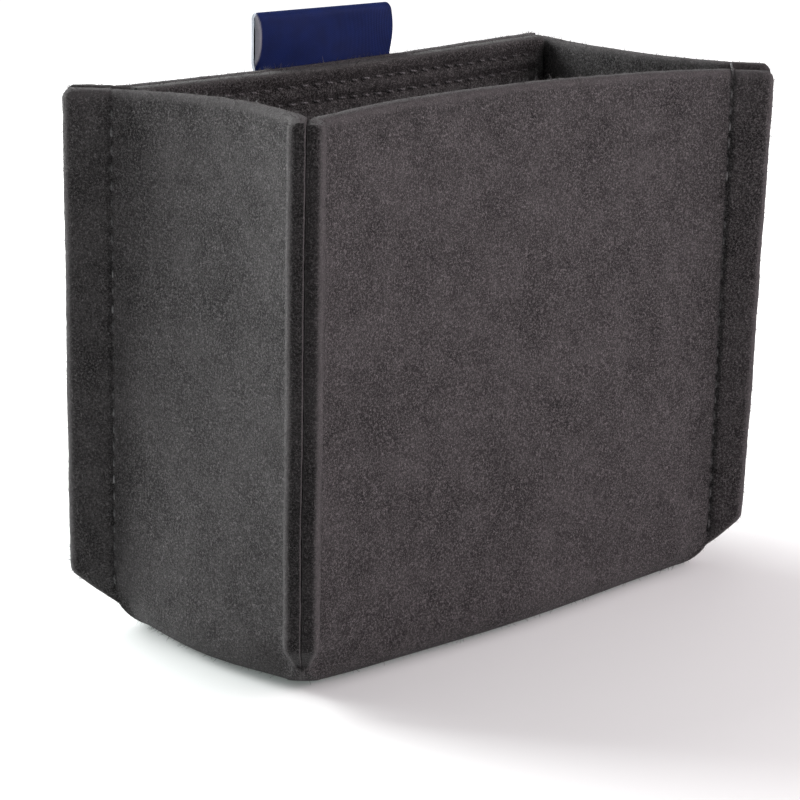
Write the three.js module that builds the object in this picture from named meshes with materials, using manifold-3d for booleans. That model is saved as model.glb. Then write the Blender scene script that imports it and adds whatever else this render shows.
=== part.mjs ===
// A felt tray for marker pens, with magnets in its back wall and a folded ribbon tab on its rim.
// Millimetres. X runs along the front, Y to the back, Z up. The origin is under the middle.
// The body is one felt blank: a bottom with four walls folded up, sewn together at the corners.
import * as THREE from "three";
import { mergeVertices } from "three/addons/utils/BufferGeometryUtils.js";
import Module from "manifold-3d";

const wasm = await Module();
wasm.setup();

// Felt body
const OVERALL_WIDTH = 126; // over the tips of the seam flanges
const OVERALL_DEPTH = 66;
const RIM_HEIGHT = 101.2;
const FELT = 3; // thickness of one ply
const PLY_GAP = 0.3; // between two pieces that touch
const FOLD_RADIUS = 7; // outer face of the soft fold round the bottom
const BEND_RADIUS = 3; // outer face, where a wall turns into its flange
const RIM_ROUND = 0.8; // worn edge of the rim
const FRONT_BOW = 4.7; // the unlined walls lean in at the middle of their rim
const SIDE_BOW = 3;
const BOTTOM_BULGE = 2; // every wall swells out just above the bottom
const LINED_BULGE_HEIGHT = 24; // the lined back wall is flat above this

// Seam flanges at the corners
const FLANGE_LENGTH = 7.5; // from the sewn crease to the cut edge
const FLANGE_TIP_HEIGHT = 10.7; // where the slanting lower cut meets the upright edge
const FLANGE_ROOT_HEIGHT = 4.7; // where that cut meets the crease
const FLANGE_ROUND = 1; // top corner of the tip
const CUT_ROUND = 2; // both edges run into the corner at the tip of the cut from this far away
const SEAM_END_HEIGHT = 5; // the walls are one piece of felt below this

// Second ply in the back wall, with its magnets
const LINING_FOOT = 9; // its lower edge
const MAGNET_DIAMETER = 20;
const MAGNET_THICKNESS = 1.5;
const MAGNET_FROM_SIDE = 20; // from the lining's edges to the middle of a magnet
const MAGNET_FROM_FOOT = 31;
const MAGNET_FROM_RIM = 25;

// Ribbon tab
const TAB_WIDTH = 34;
const TAB_CENTRE = -2.3;
const TAB_RISE = 9.6; // above the rim
const TAB_TAIL = 8; // below the rim, behind the back wall
const RIBBON = 0.5;
const TAB_HOLLOW = 1.7; // inside the fold

// Sewing thread
const THREAD = 0.5;
const GROOVE = THREAD + 2 * PLY_GAP; // the line that the stitches pull into the felt
const RIM_ROWS = { upper: 3.1, lower: 6.3 }; // the two rows, below the rim
const ROW_MARGIN = 1; // from the end of a row to the lining's edge
const THREAD_FOOT = 7.8; // lower end of the corner seams

// Steps of the meshes
const ARC_STEPS = 5;
const FLAT_STEPS = 8;
const FOLD_STEPS = 5;
const WALL_ROWS = 5;
const MAGNET_SIDES = 32;
const THREAD_SIDES = 6;
const CUT_PAST = 1; // what cuts runs this far past what it cuts

const DIAGONAL = Math.SQRT1_2;
const HALF_SEAM = FELT + PLY_GAP / 2; // from a corner's diagonal to its outer faces
const CREASE_X = OVERALL_WIDTH / 2 - FLANGE_LENGTH * DIAGONAL;
const CREASE_Y = OVERALL_DEPTH / 2 - FLANGE_LENGTH * DIAGONAL;
const CREASE_OFFSET = HALF_SEAM / DIAGONAL; // from a corner of that rectangle to its two creases
const WALL_INSET = BEND_RADIUS * (1 - DIAGONAL);
const BACK_FACE = CREASE_Y - WALL_INSET; // Y of the flat back
const LINING_BACK = BACK_FACE - FELT - PLY_GAP;
const LINING_FRONT = LINING_BACK - FELT;
const LINING_HALF = CREASE_X - CREASE_OFFSET - BEND_RADIUS * DIAGONAL; // as wide as the flat back
const ROW_HALF = LINING_HALF - ROW_MARGIN;
const TAB_FRONT = BACK_FACE + PLY_GAP;
const TAB_LOOP = 2 * RIBBON + TAB_HOLLOW; // thickness of the fold at the top
const TAB_TAILS = 2 * RIBBON + PLY_GAP; // and of the two tails

const FELT_GREY = { color: 0x45474a, roughness: 0.97, metalness: 0 };
const LINING_GREY = { color: 0x36373a, roughness: 0.98, metalness: 0 };
const MAGNET_NICKEL = { color: 0x9a9ca0, roughness: 0.35, metalness: 0.9 };
const RIBBON_NAVY = { color: 0x141b52, roughness: 0.6, metalness: 0 };
const THREAD_GREY = { color: 0x2c2d30, roughness: 0.8, metalness: 0 };

// The walls in turn, anticlockwise from the front as seen from above. crease is the distance of a
// wall's creases from the middle, span half the width to the corners, where both distances meet.
const WALLS = {
  front: { out: [0, -1], along: [1, 0], crease: CREASE_Y, span: CREASE_X, bow: FRONT_BOW },
  right: { out: [1, 0], along: [0, 1], crease: CREASE_X, span: CREASE_Y, bow: SIDE_BOW },
  back: { out: [0, 1], along: [-1, 0], crease: CREASE_Y, span: CREASE_X, bow: 0, lined: true },
  left: { out: [-1, 0], along: [0, -1], crease: CREASE_X, span: CREASE_Y, bow: SIDE_BOW },
};

const CORNERS = {
  front_left: { x: -1, y: -1, walls: ["left", "front"] },
  front_right: { x: 1, y: -1, walls: ["front", "right"] },
  back_right: { x: 1, y: 1, walls: ["right", "back"] },
  back_left: { x: -1, y: 1, walls: ["back", "left"] },
};

// Solids pass to and from the boolean library as bare positions and triangles.
function toSolid(geometry) {
  const bare = geometry.clone();
  bare.deleteAttribute("normal");
  bare.deleteAttribute("uv");
  const merged = mergeVertices(bare, 1e-4);
  return new wasm.Manifold(
    new wasm.Mesh({
      numProp: 3,
      vertProperties: new Float32Array(merged.attributes.position.array),
      triVerts: new Uint32Array(merged.index.array),
    }),
  );
}

function toGeometry(solid) {
  const mesh = solid.getMesh();
  const geometry = new THREE.BufferGeometry();
  geometry.setAttribute("position", new THREE.BufferAttribute(mesh.vertProperties, 3));
  geometry.setIndex(new THREE.BufferAttribute(mesh.triVerts, 1));
  geometry.computeVertexNormals();
  return geometry;
}

function boxBetween(low, high) {
  const size = high.map((value, axis) => value - low[axis]);
  const middle = high.map((value, axis) => (value + low[axis]) / 2);
  return new THREE.BoxGeometry(...size).translate(...middle);
}

// Skin over a stack of rings, from the lowest up, each anticlockwise with the same count of points.
function skin(rings, capFaces) {
  const faces = [];
  const count = rings[0].length;
  for (const [first, second, third] of capFaces(rings[0])) {
    faces.push(first, third, second);
  }
  for (let k = 0; k + 1 < rings.length; k++) {
    for (let i = 0; i < count; i++) {
      const next = (i + 1) % count;
      faces.push(rings[k][i], rings[k][next], rings[k + 1][next]);
      faces.push(rings[k][i], rings[k + 1][next], rings[k + 1][i]);
    }
  }
  for (const face of capFaces(rings.at(-1))) {
    faces.push(...face);
  }
  const geometry = new THREE.BufferGeometry();
  geometry.setAttribute("position", new THREE.Float32BufferAttribute(faces.flat(), 3));
  return geometry;
}

// Closes a round ring from its middle.
function fanCap(ring) {
  const mean = (axis) => ring.reduce((sum, point) => sum + point[axis], 0) / ring.length;
  const centre = [mean(0), mean(1), mean(2)];
  return ring.map((point, i) => [centre, point, ring[(i + 1) % ring.length]]);
}

// Closes the ring of a long strip across its width.
function ladderCap(ring) {
  const faces = [];
  const last = ring.length - 1;
  for (let i = 0; i + 1 < ring.length / 2; i++) {
    faces.push([ring[i], ring[i + 1], ring[last - i - 1]]);
    faces.push([ring[i], ring[last - i - 1], ring[last - i]]);
  }
  return faces;
}

// The stations of a wall in plan, from one end to the other: flat is the place between its two
// bends, from -1 to 1, and bend how much of a bend is done, negative at the start.
function wallStations(arcSteps) {
  const stations = [];
  for (let i = -arcSteps; i < 0; i++) {
    stations.push({ flat: -1, bend: i / arcSteps });
  }
  for (let i = 0; i <= FLAT_STEPS; i++) {
    stations.push({ flat: (2 * i) / FLAT_STEPS - 1, bend: 0 });
  }
  for (let i = 1; i <= arcSteps; i++) {
    stations.push({ flat: 1, bend: i / arcSteps });
  }
  return stations;
}

// How much of a wall's swollen foot is left at a height: 1 at the table, 0 where it has run out.
function footShare(wall, z) {
  return wall.lined
    ? Math.max(1 - z / LINED_BULGE_HEIGHT, 0) ** 2
    : Math.max(1 - z / RIM_HEIGHT, 0) ** 3;
}

// Where a wall's felt is at a station, a depth inside its outer face and a height. Higher up, it
// leans in along a parabola and its ends bend outwards to the diagonal. At the foot it swells out.
function wallPoint(wall, station, depth, z) {
  const centreAlong = wall.span - CREASE_OFFSET - BEND_RADIUS * DIAGONAL;
  const centreOut = wall.crease + BEND_RADIUS * DIAGONAL;
  const radius = BEND_RADIUS + depth;
  const lean = wall.bow * (z / RIM_HEIGHT);
  const endSlope = Math.atan((2 * lean) / centreAlong);
  const flatHalf = centreAlong + BEND_RADIUS * Math.sin(endSlope);
  let along;
  let straightOut;
  if (station.bend === 0) {
    const slope = Math.atan((2 * lean * station.flat) / flatHalf);
    const endOut = centreOut - BEND_RADIUS * Math.cos(endSlope);
    along = flatHalf * station.flat + depth * Math.sin(slope);
    straightOut = endOut - lean * (1 - station.flat ** 2) - depth * Math.cos(slope);
  } else {
    const turn = endSlope + (Math.PI / 4 - endSlope) * Math.abs(station.bend);
    along = Math.sign(station.bend) * (centreAlong + radius * Math.sin(turn));
    straightOut = centreOut - radius * Math.cos(turn);
  }

  const bendAlong = centreAlong + radius * DIAGONAL;
  const bendOut = centreOut - radius * DIAGONAL;
  const swollenMiddle = wall.crease + BOTTOM_BULGE - depth;
  const swell = Math.cos((Math.PI / 2) * (along / bendAlong)) ** 2;
  const swollenOut = bendOut + (swollenMiddle - bendOut) * swell;

  const share = footShare(wall, z);
  const out = straightOut * (1 - share) + swollenOut * share;
  return [wall.along[0] * along + wall.out[0] * out, wall.along[1] * along + wall.out[1] * out];
}

// One closed ring of the body's felt, drawn in by inset where the bottom folds.
function bodyRing(depth, inset, z) {
  return Object.values(WALLS).flatMap((wall) =>
    wallStations(ARC_STEPS).map((station) => {
      const point = wallPoint(wall, station, depth, z);
      return [point[0] * (1 - inset / CREASE_X), point[1] * (1 - inset / CREASE_Y), z];
    }),
  );
}

// Bottom and walls as one bent sheet: up the outside, over the rim and down the inside.
function foldedBlank() {
  const rings = [];
  const innerFold = FOLD_RADIUS - FELT;
  const straightTop = RIM_HEIGHT - RIM_ROUND;
  const foldTurn = (k) => ((Math.PI / 2) * k) / FOLD_STEPS;
  const rowHeight = (k) => FOLD_RADIUS + ((straightTop - FOLD_RADIUS) * k) / WALL_ROWS;
  for (let k = 0; k < FOLD_STEPS; k++) {
    const inset = FOLD_RADIUS * (1 - Math.sin(foldTurn(k)));
    rings.push(bodyRing(0, inset, FOLD_RADIUS * (1 - Math.cos(foldTurn(k)))));
  }
  for (let k = 0; k <= WALL_ROWS; k++) {
    rings.push(bodyRing(0, 0, rowHeight(k)));
  }
  rings.push(bodyRing(RIM_ROUND, 0, RIM_HEIGHT));
  rings.push(bodyRing(FELT - RIM_ROUND, 0, RIM_HEIGHT));
  for (let k = WALL_ROWS; k >= 0; k--) {
    rings.push(bodyRing(FELT, 0, rowHeight(k)));
  }
  for (let k = FOLD_STEPS - 1; k >= 0; k--) {
    const inset = innerFold * (1 - Math.sin(foldTurn(k)));
    rings.push(bodyRing(FELT, inset, FOLD_RADIUS - innerFold * Math.cos(foldTurn(k))));
  }
  return skin(rings, fanCap);
}

// Moves a piece to a corner. It is drawn with X from the crease out along the flange, Y = 0
// between the plies.
function toCorner(geometry, corner) {
  const x = corner.x * (CREASE_X - CREASE_OFFSET / 2);
  const y = corner.y * (CREASE_Y - CREASE_OFFSET / 2);
  return geometry.rotateZ(Math.atan2(corner.y, corner.x)).translate(x, y, 0);
}

// Both plies of a corner's seam allowance, cut off at a slant below.
function flange(corner) {
  const root = -1; // reaches into the walls' felt
  const cutLength = Math.hypot(FLANGE_LENGTH, FLANGE_TIP_HEIGHT - FLANGE_ROOT_HEIGHT);
  const slope = (FLANGE_TIP_HEIGHT - FLANGE_ROOT_HEIGHT) / FLANGE_LENGTH;
  const onCut = FLANGE_LENGTH * (1 - CUT_ROUND / cutLength);
  const aboveCut = FLANGE_TIP_HEIGHT + CUT_ROUND;
  const roundX = FLANGE_LENGTH - FLANGE_ROUND;
  const roundZ = RIM_HEIGHT - FLANGE_ROUND;
  const outline = new THREE.Shape();
  outline.moveTo(root, FLANGE_ROOT_HEIGHT + root * slope);
  outline.lineTo(onCut, FLANGE_ROOT_HEIGHT + onCut * slope);
  outline.quadraticCurveTo(FLANGE_LENGTH, FLANGE_TIP_HEIGHT, FLANGE_LENGTH, aboveCut);
  outline.absarc(roundX, roundZ, FLANGE_ROUND, 0, Math.PI / 2);
  outline.lineTo(root, RIM_HEIGHT);
  const thickness = { depth: 2 * HALF_SEAM, bevelEnabled: false, curveSegments: 4 };
  const slab = new THREE.ExtrudeGeometry(outline, thickness);
  return toCorner(slab.rotateX(Math.PI / 2).translate(0, HALF_SEAM, 0), corner);
}

// The slit between a corner's two plies, from inside the tray out past the tips.
function plySlit(corner) {
  const inside = -3; // where the walls have parted
  const slit = boxBetween(
    [inside, -PLY_GAP / 2, SEAM_END_HEIGHT],
    [FLANGE_LENGTH + CUT_PAST, PLY_GAP / 2, RIM_HEIGHT + CUT_PAST],
  );
  return toCorner(slit, corner);
}

// The line that the stitches pull into one outer face of a corner seam.
function seamGroove(corner, side) {
  const groove = boxBetween(
    [-GROOVE / 2, HALF_SEAM - GROOVE, THREAD_FOOT - PLY_GAP],
    [GROOVE / 2, HALF_SEAM + CUT_PAST, RIM_HEIGHT + CUT_PAST],
  );
  return toCorner(side < 0 ? groove.rotateZ(Math.PI) : groove, corner);
}

function feltBody() {
  let body = toSolid(foldedBlank());
  for (const corner of Object.values(CORNERS)) {
    body = body.add(toSolid(flange(corner)));
  }
  for (const corner of Object.values(CORNERS)) {
    body = body.subtract(toSolid(plySlit(corner)));
    body = body.subtract(toSolid(seamGroove(corner, -1)));
    body = body.subtract(toSolid(seamGroove(corner, 1)));
  }
  return toGeometry(body);
}

const MAGNET_X = LINING_HALF - MAGNET_FROM_SIDE;
const MAGNETS = {
  upper_left: { x: -MAGNET_X, z: RIM_HEIGHT - MAGNET_FROM_RIM },
  upper_right: { x: MAGNET_X, z: RIM_HEIGHT - MAGNET_FROM_RIM },
  lower_left: { x: -MAGNET_X, z: LINING_FOOT + MAGNET_FROM_FOOT },
  lower_right: { x: MAGNET_X, z: LINING_FOOT + MAGNET_FROM_FOOT },
};

// A flat disc, flush with the back of the lining, or its pocket where there is a clearance.
function magnetDisc(place, clearance) {
  const radius = MAGNET_DIAMETER / 2 + clearance;
  const thickness = MAGNET_THICKNESS + 2 * clearance;
  const disc = new THREE.CylinderGeometry(radius, radius, thickness, MAGNET_SIDES);
  return disc.translate(place.x, LINING_BACK - MAGNET_THICKNESS / 2, place.z);
}

// The second ply of the back wall follows the first between the corner bends, with a pocket
// behind it for each magnet and a groove in front for each row of stitches.
function backLining() {
  const wall = WALLS.back;
  const stations = wallStations(0);
  const ring = (far, near, z) => {
    const face = (depth) => stations.map((station) => [...wallPoint(wall, station, depth, z), z]);
    return [...face(far), ...face(near).reverse()];
  };
  const far = FELT + PLY_GAP;
  const near = far + FELT;
  const straightTop = RIM_HEIGHT - RIM_ROUND;
  const middleFoot = (LINING_FOOT + LINED_BULGE_HEIGHT) / 2;
  const heights = [LINING_FOOT, middleFoot, LINED_BULGE_HEIGHT, straightTop];
  const rings = heights.map((z) => ring(far, near, z));
  rings.push(ring(far + RIM_ROUND, near - RIM_ROUND, RIM_HEIGHT));

  let lining = toSolid(skin(rings, ladderCap));
  for (const place of Object.values(MAGNETS)) {
    lining = lining.subtract(toSolid(magnetDisc(place, PLY_GAP)));
  }
  for (const drop of Object.values(RIM_ROWS)) {
    const middle = RIM_HEIGHT - drop;
    const groove = boxBetween(
      [-ROW_HALF - PLY_GAP, LINING_FRONT - CUT_PAST, middle - GROOVE / 2],
      [ROW_HALF + PLY_GAP, LINING_FRONT + GROOVE, middle + GROOVE / 2],
    );
    lining = lining.subtract(toSolid(groove));
  }
  return toGeometry(lining);
}

// A ribbon folded over on itself. Its two tails hang behind the back wall, under the rim rows.
function ribbonTab() {
  const top = TAB_RISE - TAB_LOOP / 2;
  const outline = new THREE.Shape();
  outline.moveTo(0, -TAB_TAIL);
  outline.absarc(TAB_LOOP / 2, top, TAB_LOOP / 2, Math.PI, 0, true);
  outline.lineTo(TAB_TAILS, 0);
  outline.lineTo(TAB_TAILS, -TAB_TAIL);
  outline.lineTo(TAB_TAILS - RIBBON, -TAB_TAIL);
  outline.lineTo(TAB_TAILS - RIBBON, 0);
  outline.absarc(TAB_LOOP / 2, top, TAB_HOLLOW / 2, 0, Math.PI, false);
  outline.lineTo(RIBBON, -TAB_TAIL);
  const width = { depth: TAB_WIDTH, bevelEnabled: false, curveSegments: 8 };
  const tab = new THREE.ExtrudeGeometry(outline, width);
  const alongX = new THREE.Matrix4().makeBasis(
    new THREE.Vector3(0, 1, 0),
    new THREE.Vector3(0, 0, 1),
    new THREE.Vector3(1, 0, 0),
  );
  return tab.applyMatrix4(alongX).translate(TAB_CENTRE - TAB_WIDTH / 2, TAB_FRONT, RIM_HEIGHT);
}

// The thread in one groove of a corner seam, from the rim down to the last stitch.
function cornerThread(corner, side) {
  const length = RIM_HEIGHT - THREAD_FOOT;
  const thread = new THREE.CylinderGeometry(THREAD / 2, THREAD / 2, length, THREAD_SIDES);
  thread.rotateX(Math.PI / 2);
  thread.translate(0, side * (HALF_SEAM - GROOVE / 2), THREAD_FOOT + length / 2);
  return toCorner(thread, corner);
}

// A rim row's thread on the inside, in its groove in the lining.
function innerRowThread(z) {
  const thread = new THREE.CylinderGeometry(THREAD / 2, THREAD / 2, 2 * ROW_HALF, THREAD_SIDES);
  return thread.rotateZ(Math.PI / 2).translate(0, LINING_FRONT + GROOVE / 2, z);
}

// Its thread on the outside lies on the felt, and over the tails of the tab.
function outerRowThread(z) {
  const onFelt = BACK_FACE + PLY_GAP + THREAD / 2;
  const onTab = TAB_FRONT + TAB_TAILS + PLY_GAP + THREAD / 2;
  const tabHalf = TAB_WIDTH / 2 + PLY_GAP + THREAD;
  const climb = 2; // length of the slope up to the tab
  const route = [
    [-ROW_HALF, onFelt],
    [TAB_CENTRE - tabHalf - climb, onFelt],
    [TAB_CENTRE - tabHalf, onTab],
    [TAB_CENTRE + tabHalf, onTab],
    [TAB_CENTRE + tabHalf + climb, onFelt],
    [ROW_HALF, onFelt],
  ];
  const rings = route.map(([x, y]) =>
    Array.from({ length: THREAD_SIDES }, (_, i) => {
      const angle = (2 * Math.PI * i) / THREAD_SIDES;
      return [x, y + (THREAD / 2) * Math.cos(angle), z + (THREAD / 2) * Math.sin(angle)];
    }),
  );
  return skin(rings, fanCap);
}

const tray = new THREE.Group();
tray.name = "marker_tray";

function addPart(name, geometry, finish) {
  const mesh = new THREE.Mesh(geometry, new THREE.MeshStandardMaterial(finish));
  mesh.name = name;
  tray.add(mesh);
}

addPart("felt_body", feltBody(), FELT_GREY);
addPart("back_lining", backLining(), LINING_GREY);
for (const [name, place] of Object.entries(MAGNETS)) {
  addPart(`magnet_${name}`, magnetDisc(place, 0), MAGNET_NICKEL);
}
addPart("ribbon_tab", ribbonTab(), RIBBON_NAVY);
for (const [name, corner] of Object.entries(CORNERS)) {
  addPart(`${name}_seam_${corner.walls[0]}_thread`, cornerThread(corner, -1), THREAD_GREY);
  addPart(`${name}_seam_${corner.walls[1]}_thread`, cornerThread(corner, 1), THREAD_GREY);
}
for (const [name, drop] of Object.entries(RIM_ROWS)) {
  addPart(`${name}_rim_row_inner_thread`, innerRowThread(RIM_HEIGHT - drop), THREAD_GREY);
  addPart(`${name}_rim_row_outer_thread`, outerRowThread(RIM_HEIGHT - drop), THREAD_GREY);
}

export default tray;
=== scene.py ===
"""A felt tray for marker pens: folded and sewn grey felt, a lined back wall that hides four magnets,
and a folded navy ribbon behind the rim. Every length is in metres, in the frame of the packed model."""

import math
import random

import bpy
import numpy as np
from bpy.props import FloatProperty, FloatVectorProperty, IntProperty, PointerProperty
from mathutils import Matrix, Vector, noise


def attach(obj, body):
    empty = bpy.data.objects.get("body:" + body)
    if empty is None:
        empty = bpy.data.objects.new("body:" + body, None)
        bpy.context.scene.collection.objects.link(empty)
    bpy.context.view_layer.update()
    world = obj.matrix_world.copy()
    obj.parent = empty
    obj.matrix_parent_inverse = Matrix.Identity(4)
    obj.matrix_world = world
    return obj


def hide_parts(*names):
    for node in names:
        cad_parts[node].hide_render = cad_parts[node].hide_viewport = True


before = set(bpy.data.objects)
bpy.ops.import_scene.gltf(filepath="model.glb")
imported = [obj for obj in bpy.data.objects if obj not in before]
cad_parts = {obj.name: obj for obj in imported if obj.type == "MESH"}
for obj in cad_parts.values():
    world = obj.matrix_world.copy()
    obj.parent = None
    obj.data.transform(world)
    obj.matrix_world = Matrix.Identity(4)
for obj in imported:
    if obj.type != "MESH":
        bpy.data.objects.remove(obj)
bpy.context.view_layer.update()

bl_info = {
    "name": "Felt marker tray",
    "version": (1, 0, 0),
    "blender": (4, 5, 0),
    "location": "View3D > Sidebar > Marker tray",
    "description": "Models a sewn felt tray, its stitches, its ribbon tab and its magnets",
    "category": "Add Mesh",
}

MM = 0.001
DIAGONAL = math.sqrt(0.5)
QUARTER = math.pi / 2
EIGHTH = math.pi / 4
MERGE = 0.002 * MM
WHITE = (1.0, 1.0, 1.0, 1.0)
PICTURE_WIDTH = 800

# The point that the camera turns about and that the lights face.
PIVOT = Vector((0, 0, 50 * MM))

# The walls in turn, anticlockwise from the front as seen from above, with the corners at their ends.
WALLS = {
    "front": {"out": (0, -1), "along": (1, 0), "ends": ("front_left", "front_right")},
    "right": {"out": (1, 0), "along": (0, 1), "ends": ("front_right", "back_right")},
    "back": {"out": (0, 1), "along": (-1, 0), "ends": ("back_right", "back_left")},
    "left": {"out": (-1, 0), "along": (0, -1), "ends": ("back_left", "front_left")},
}
CORNERS = {
    "front_left": {"way": (-1, -1), "walls": ("left", "front")},
    "front_right": {"way": (1, -1), "walls": ("front", "right")},
    "back_right": {"way": (1, 1), "walls": ("right", "back")},
    "back_left": {"way": (-1, 1), "walls": ("back", "left")},
}


# Settings


def length(name, description, default, low=0.0):
    """A setting in metres."""
    return FloatProperty(
        name=name,
        description=description,
        default=default,
        min=low,
        unit="LENGTH",
        precision=5,
    )


def four_lengths(name, description, default):
    """A setting in metres for each corner or wall, in the order of CORNERS or WALLS."""
    return FloatVectorProperty(
        name=name,
        description=description,
        default=default,
        size=4,
        unit="LENGTH",
        precision=5,
    )


def colour(name, description, default):
    """A linear colour setting."""
    return FloatVectorProperty(
        name=name,
        description=description,
        default=default,
        size=3,
        min=0.0,
        max=1.0,
        subtype="COLOR",
    )


def angle_in_degrees(name, default):
    """A setting in degrees."""
    return FloatProperty(name=name, description="In degrees", default=default)


class TrayBodySettings(bpy.types.PropertyGroup):
    """Sizes of the folded felt body."""

    width: length("Width", "Over the tips of the seam flanges", 126 * MM)
    depth: length("Depth", "Over the tips of the seam flanges", 66 * MM)
    height: length("Height", "Of the rim, as drawn", 101.2 * MM)
    felt: length("Felt", "Thickness of one ply", 3.1 * MM)
    ply_gap: length("Ply gap", "Between two plies that touch", 0.1 * MM)
    fold_radius: length("Fold radius", "Outer face of the soft fold round the bottom", 7 * MM)
    bend_radius: length("Bend radius", "Where a wall turns into its flange", 3 * MM)
    front_bow: length("Front bow", "The front wall leans in by this at its rim", 4.7 * MM)
    side_bow: length("Side bow", "A side wall leans in by this at its rim", 3 * MM)
    bottom_bulge: length("Bottom bulge", "The walls swell out by this above the bottom", 2 * MM)
    lined_bulge_height: length("Lined bulge height", "The back is flat above this", 24 * MM)
    flange: length("Flange", "From the sewn crease to the cut edge, as drawn", 7.5 * MM)
    flange_top: four_lengths(
        "Flange at the rim",
        "Real width of each corner's flange at the rim",
        (7.5 * MM, 7.9 * MM, 7.4 * MM, 8.6 * MM),
    )
    flange_foot: four_lengths(
        "Flange at the foot",
        "Real width of each corner's flange above its slanting cut",
        (7.5 * MM, 6.45 * MM, 7.0 * MM, 8.2 * MM),
    )
    ply_step: four_lengths(
        "Ply step",
        "How much farther the first wall's ply reaches than the second's",
        (0.7 * MM, 0.4 * MM, 0.0, -0.3 * MM),
    )
    tip_drop: four_lengths(
        "Tip drop",
        "The flange's top falls by this from the crease to its tip",
        (0.0, 0.3 * MM, 1.8 * MM, 0.0),
    )
    cut_tip: length("Cut tip", "Where the slanting cut meets the upright edge", 10.7 * MM)
    cut_root: four_lengths(
        "Cut root",
        "Where the slanting cut meets the crease",
        (4.9 * MM, 3.5 * MM, 3.5 * MM, 3.5 * MM),
    )
    rim_start: four_lengths(
        "Rim start",
        "How far each wall's rim stands above the drawn height at its start",
        (-0.3 * MM, 0.3 * MM, 0.9 * MM, -1.0 * MM),
    )
    rim_middle: four_lengths(
        "Rim middle",
        "The same in the middle of each wall",
        (0.25 * MM, 0.25 * MM, -0.5 * MM, -0.25 * MM),
    )
    rim_end: four_lengths(
        "Rim end",
        "The same at its end",
        (-0.7 * MM, 0.4 * MM, -0.8 * MM, 0.05 * MM),
    )
    corner_draw: four_lengths(
        "Corner draw",
        "The seams draw the bottom's corners in by this",
        (1.3 * MM, 0.2 * MM, 0.2 * MM, 0.7 * MM),
    )
    rim_round: length("Rim rounding", "Worn edge of the rim", 0.85 * MM)
    tip_round: four_lengths(
        "Tip rounding",
        "Outer edge of the cuts at both ends of each wall",
        (1.4 * MM, 1 * MM, 1.4 * MM, 1.5 * MM),
    )
    slit_round: length("Slit rounding", "Edge of a cut beside the other ply", 0.3 * MM)
    waviness: length("Waviness", "Slow waves of the felt", 0.3 * MM)
    lumps: length("Lumps", "Small lumps of the felt", 0.13 * MM)


class SeamSettings(bpy.types.PropertyGroup):
    """Sizes of the stitches and of what they do to the felt."""

    pitch: length("Pitch", "From one stitch to the next", 3.2 * MM)
    thread: length("Thread", "Thickness of the thread", 0.42 * MM)
    stitch_share: FloatProperty(
        name="Stitch share",
        description="Share of the pitch in which the thread shows",
        default=0.8,
        min=0.3,
        max=1.0,
        subtype="FACTOR",
    )
    foot: length("Foot", "Lower end of the corner seams", 7.8 * MM)
    line_pull: length("Line pull", "Depth of the line that a corner seam pulls in", 0.5 * MM)
    hole_pull: length("Hole pull", "Extra depth at each hole", 0.3 * MM)
    pucker: length("Pucker", "Depth of the wide hollows beside the holes", 0.14 * MM)
    upper_row: length("Upper row", "Below the rim", 3.1 * MM)
    lower_row: length("Lower row", "Below the rim", 6.3 * MM)
    row_pull: length("Row pull", "Depth of the line that a rim row pulls in", 0.75 * MM)


class LiningSettings(bpy.types.PropertyGroup):
    """Sizes of the second ply in the back wall."""

    foot: length("Foot", "Lower edge of the lining", 9 * MM)
    edge_round: length("Edge rounding", "Inner edge of the lining's rim", 0.95 * MM)
    back_round: length("Back rounding", "Edge of the lining's rim beside the body", 0.35 * MM)
    reach: length("Reach", "Past the flat part of the back wall, into the corners", 2 * MM)


class RibbonSettings(bpy.types.PropertyGroup):
    """Sizes and colours of the ribbon tab."""

    width: length("Width", "Of the woven ribbon", 34.8 * MM)
    centre: length("Centre", "Place of the tab along the back rim", -2.85 * MM, -0.05)
    rise: length("Rise", "Top of the loop above the rim", 9.6 * MM)
    tail: length("Tail", "Length of the tails below the rim", 8 * MM)
    thickness: length("Thickness", "Of the ribbon", 0.65 * MM)
    hollow: length("Hollow", "Inside of the fold", 1.4 * MM)
    curl: length("Curl", "The front's left selvage curls back over this width", 1.4 * MM)
    bulge: length("Bulge", "The front bulges by this at half its height", 0.6 * MM)
    front: colour("Front", "Navy satin face", (0.0024, 0.0138, 0.098))
    # The near-black reverse is a painted shade: the shade of the hollow inside the loop is painted onto
    # its inner face, whose pale bare thread shows only near the crest and the foot.
    reverse: colour("Reverse", "Dark back of the weave", (0.009, 0.011, 0.018))
    bare: colour("Bare thread", "Silvery selvage and cut edges", (0.5, 0.53, 0.59))


class FinishSettings(bpy.types.PropertyGroup):
    """Colours of felt, thread and magnets."""

    felt: colour("Felt", "Mean colour of the body's felt", (0.0298, 0.028, 0.0284))
    lining: colour("Lining", "Mean colour of the lining's felt", (0.034, 0.0333, 0.0328))
    thread: colour("Thread", "Sewing thread", (0.052, 0.052, 0.053))
    magnet: colour("Magnet", "Nickel plating", (0.62, 0.62, 0.64))
    fibres: IntProperty(
        name="Fibres",
        description="Loose fibres in each of the two fuzz pieces",
        default=9000,
        min=0,
        max=11000,
    )


class StageSettings(bpy.types.PropertyGroup):
    """The camera and the studio."""

    lens_pixels: FloatProperty(
        name="Lens",
        description="Focal length in pixels of a picture 800 pixels wide",
        default=2597.509,
    )
    azimuth: angle_in_degrees("Azimuth", -44.993)
    elevation: angle_in_degrees("Elevation", 14.807)
    roll: angle_in_degrees("Roll", 1.22)
    distance: length("Distance", "From the point that the camera turns about", 493.271 * MM)
    aside: length("Aside", "Camera's offset to its right", -5.226 * MM, -1)
    above: length("Above", "Camera's offset upwards", -11.154 * MM, -1)
    floor: colour("Floor", "Pale floor", (0.8, 0.8, 0.8))


# Small helpers


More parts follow.
